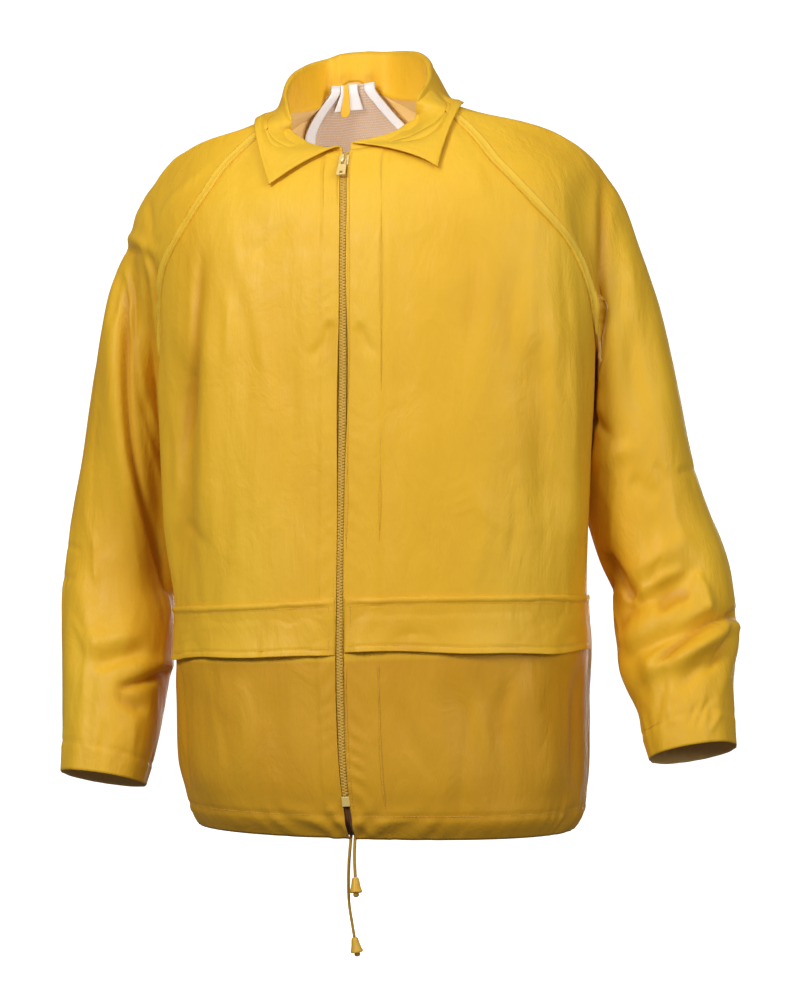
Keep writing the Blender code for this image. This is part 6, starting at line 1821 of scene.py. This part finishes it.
def stitches_on(line, normals):
    """Bars of thread along a line of points on the cloth, with the cloth's normals there."""
    run = run_along(line)
    at = np.arange(STITCH_PITCH / 2, run[-1], STITCH_PITCH)
    places = along_line(line, at)
    out = unit(along_line(np.concatenate([line, normals], axis=1), at)[:, 3:])
    along = unit(along_line(line, np.minimum(at + 0.001, run[-1])) - along_line(line, at - 0.001))
    across = unit(np.cross(along, out))
    half = STITCH_LENGTH / 2
    depths = ((-half, 0.5), (-half * 0.6, 1.0), (half * 0.6, 1.0), (half, 0.5))
    profile = [(x * STITCH_RADIUS, y * STITCH_RADIUS) for x, y in ROUND]
    return repeated(profile, depths, places + out * 0.00012, across, out, along)


def line_on_front(side, deg, z):
    return stitches_on(*front_surface(side, deg, z)[:2])


def front_sewing():
    """Top stitching beside the zip, at the inner edge of the facing, and along the hem's channel."""
    rows = []
    for side in (1, -1):
        z = np.linspace(HEM_Z + 0.004, FRONT_NECK_Z - 0.004, 500)
        z = z[(z < FLAP_BOTTOM_Z - 0.004) | (z > FLAP_TOP_Z + 0.008)]
        for part in (z[z < -0.53], z[z > -0.53]):
            for away in (ZIP_STITCH, FACING[side] - 0.002):
                rows.append(line_on_front(side, side * deg_of(ZIP_OPENING / 2 + away, part), part))
        deg = np.linspace(deg_of(ZIP_OPENING / 2 + 0.004, HEM_Z), side_deg(HEM_Z) - 1.0, 300)
        rows.append(line_on_front(side, side * deg, HEM_Z + HEM_CHANNEL + 0 * deg))
    return rows


def back_sewing():
    deg = np.linspace(side_deg(HEM_Z) + 1.0, 359 - side_deg(HEM_Z), 400)
    z = HEM_Z + HEM_CHANNEL + 0 * deg
    normals = body_normal(deg, z)
    return [stitches_on(body(deg, z) + normals * back_relief(deg, z)[:, None], normals)]


def flap_sewing():
    """Along each flap's lower edge, under its sewn top, and down its end at the zip."""
    rows = []
    tall = FLAP_TOP_Z - FLAP_BOTTOM_Z
    f = np.linspace(0.012, 0.995, 400)
    for side in (1, -1):
        for row in FLAP_STITCHES:
            rows.append(stitches_on(*flap_face(side, f, 1 - row / tall + 0 * f)[:2]))
        down = np.linspace(0.12, 0.90, 40)
        rows.append(stitches_on(*flap_face(side, 0.012 + 0 * down, down)[:2]))
    return rows


def sleeve_sewing():
    """One row round each cuff's hem and two along each felled seam."""
    rows = []
    for side in (1, -1):
        sleeve = SLEEVES[side]
        turns = np.linspace(-1, 1, 300)
        left = CUFF_HEM / ((1 - CAP_SHARE / 3) * sleeve.length * WAY_STRETCH)
        ways = 1 - left + 0 * turns
        rows.append(stitches_on(sleeve.at(turns, ways), sleeve.normal(turns, ways)))
        for which in ("front", "back"):
            turns = welt_turns(sleeve, which, 160)
            for across in (0.16, 0.84):
                distance = WELT_IN + WELT_WIDTH * across + 0 * turns
                line = beside_seam(sleeve, turns, distance, 0.0011 + 0 * turns)
                rows.append(stitches_on(line, sleeve.normal(turns, distance / 0.5)))
    return rows


def collar_sewing():
    """A row of stitches 6 mm inside the leaf's edge and both of its ends."""
    normals = -grid_normals(COLLAR_FACE)
    rows, columns = COLLAR_FACE.shape[:2]
    up = run_along(COLLAR_FACE[::-1])
    along = run_along(COLLAR_FACE, axis=1)
    inner = np.array([np.interp(COLLAR_STITCH, up[:, k], np.arange(rows)) for k in range(columns)])
    k0 = int(np.searchsorted(along[-4], COLLAR_STITCH))
    ks = np.arange(k0, columns - k0)
    row = (rows - 1 - inner[ks]).round().astype(int)
    return [stitches_on(COLLAR_FACE[row, ks], normals[row, ks])]


def add_sewing():
    yellow = front_sewing() + back_sewing() + flap_sewing() + sleeve_sewing() + collar_sewing()
    new_piece("yellow_thread", block_mesh("yellow_thread", yellow), "coated_cloth", thread_finish)
    z = np.linspace(LINING_BOTTOM_Z + 0.003, LINING_TOP_Z - 0.002, 120)
    rows = []
    for sign in (-1, 1):
        half = lining_half(z)
        for across in (0.18, 0.82):
            g = sign * (1 - across * BINDING_WIDTH / BACK_DEG_TO_M / half)
            points = inside_back(g, z, 0.0086)
            rows.append(stitches_on(points, unit(inside_back(g, z, 0.0096) - points)))
    new_piece("white_thread_rows", block_mesh("white_thread_rows", rows), "white_tape", white_thread)
    print("stitches:", sum(len(r[2]) for r in yellow + rows) // 2)


add_sewing()

# %% [markdown]
# ## Light and backdrop
#
# A catalogue photo: broad soft boxes above, to both sides and behind, so highlights are wide and
# shadows faint, on a pale floor that turns up all round into a white background. The box behind stands
# low, at the height of the chest, so that it lights the sides and leaves no glare on the shoulders.

# %% Lights
def soft_box(name, place, size, power, aim=(0.0, 0.0, -0.40)):
    data = bpy.data.lights.new(name, "AREA")
    data.shape, data.size, data.size_y, data.energy = "RECTANGLE", size[0], size[1], power
    aimed(new_object(name, data), place, Vector(aim) - Vector(place))


for lamp in (
    ("key", (-1.1, -2.5, 0.9), (0.9, 0.8), 51.0),
    ("fill", (2.1, -1.9, 0.5), (1.2, 1.4), 32.0),
    ("top", (0.1, -0.5, 2.0), (1.8, 1.0), 6.0),
    ("neck", (0.05, -0.75, 0.55), (0.4, 0.3), 1.2, (0.0, 0.06, 0.0)),
    ("through_cloth", (0.0, -0.04, -0.14), (0.12, 0.06), 0.26, (0.0, 0.12, 0.03)),
    ("back", (0.1, 3.0, -0.4), (1.6, 1.2), 30.0),
):
    soft_box(*lamp)

world = bpy.data.worlds.new("studio")
world.use_nodes = True
world.node_tree.nodes["Background"].inputs["Color"].default_value = (1.0, 1.0, 1.0, 1.0)
world.node_tree.nodes["Background"].inputs["Strength"].default_value = 0.12
bpy.context.scene.world = world
bpy.context.scene.view_settings.view_transform = "Standard"

FLOOR_Z, SURROUND = -1.25, 9.0


def add_floor():
    """A pale round floor that turns up all round into a white wall: rings from the middle outwards,
    then a quarter circle, then straight up. It glows a little, so it is white from every side."""
    bend = np.linspace(0, np.pi / 2, 9)[1:]
    out = np.concatenate([np.linspace(0.0001, 1, 12), 1 + 0.2 * np.sin(bend), [1.2]])
    up = np.concatenate([np.zeros(12), 0.2 * (1 - np.cos(bend)), [1.2]])
    turn = np.linspace(0, 2 * np.pi, 65)[None, :-1]
    out, up = out[:, None] * SURROUND, up[:, None] * SURROUND + FLOOR_Z
    grid = np.stack(np.broadcast_arrays(-out * np.cos(turn), out * np.sin(turn), up + 0 * turn), axis=-1)
    mesh = grid_mesh("floor", grid, closed=True)
    paper, shader = start_finish("floor_paper", (0.93, 0.93, 0.93), 0.9, Emission_Strength=1.1)
    shader.inputs["Emission Color"].default_value = (1.0, 1.0, 1.0, 1.0)
    mesh.materials.append(paper)
    floor = new_object("floor", mesh)
    floor.visible_glossy = floor.visible_diffuse = False


add_floor()
print("lights:", len(bpy.data.lights))

# %% End
import json
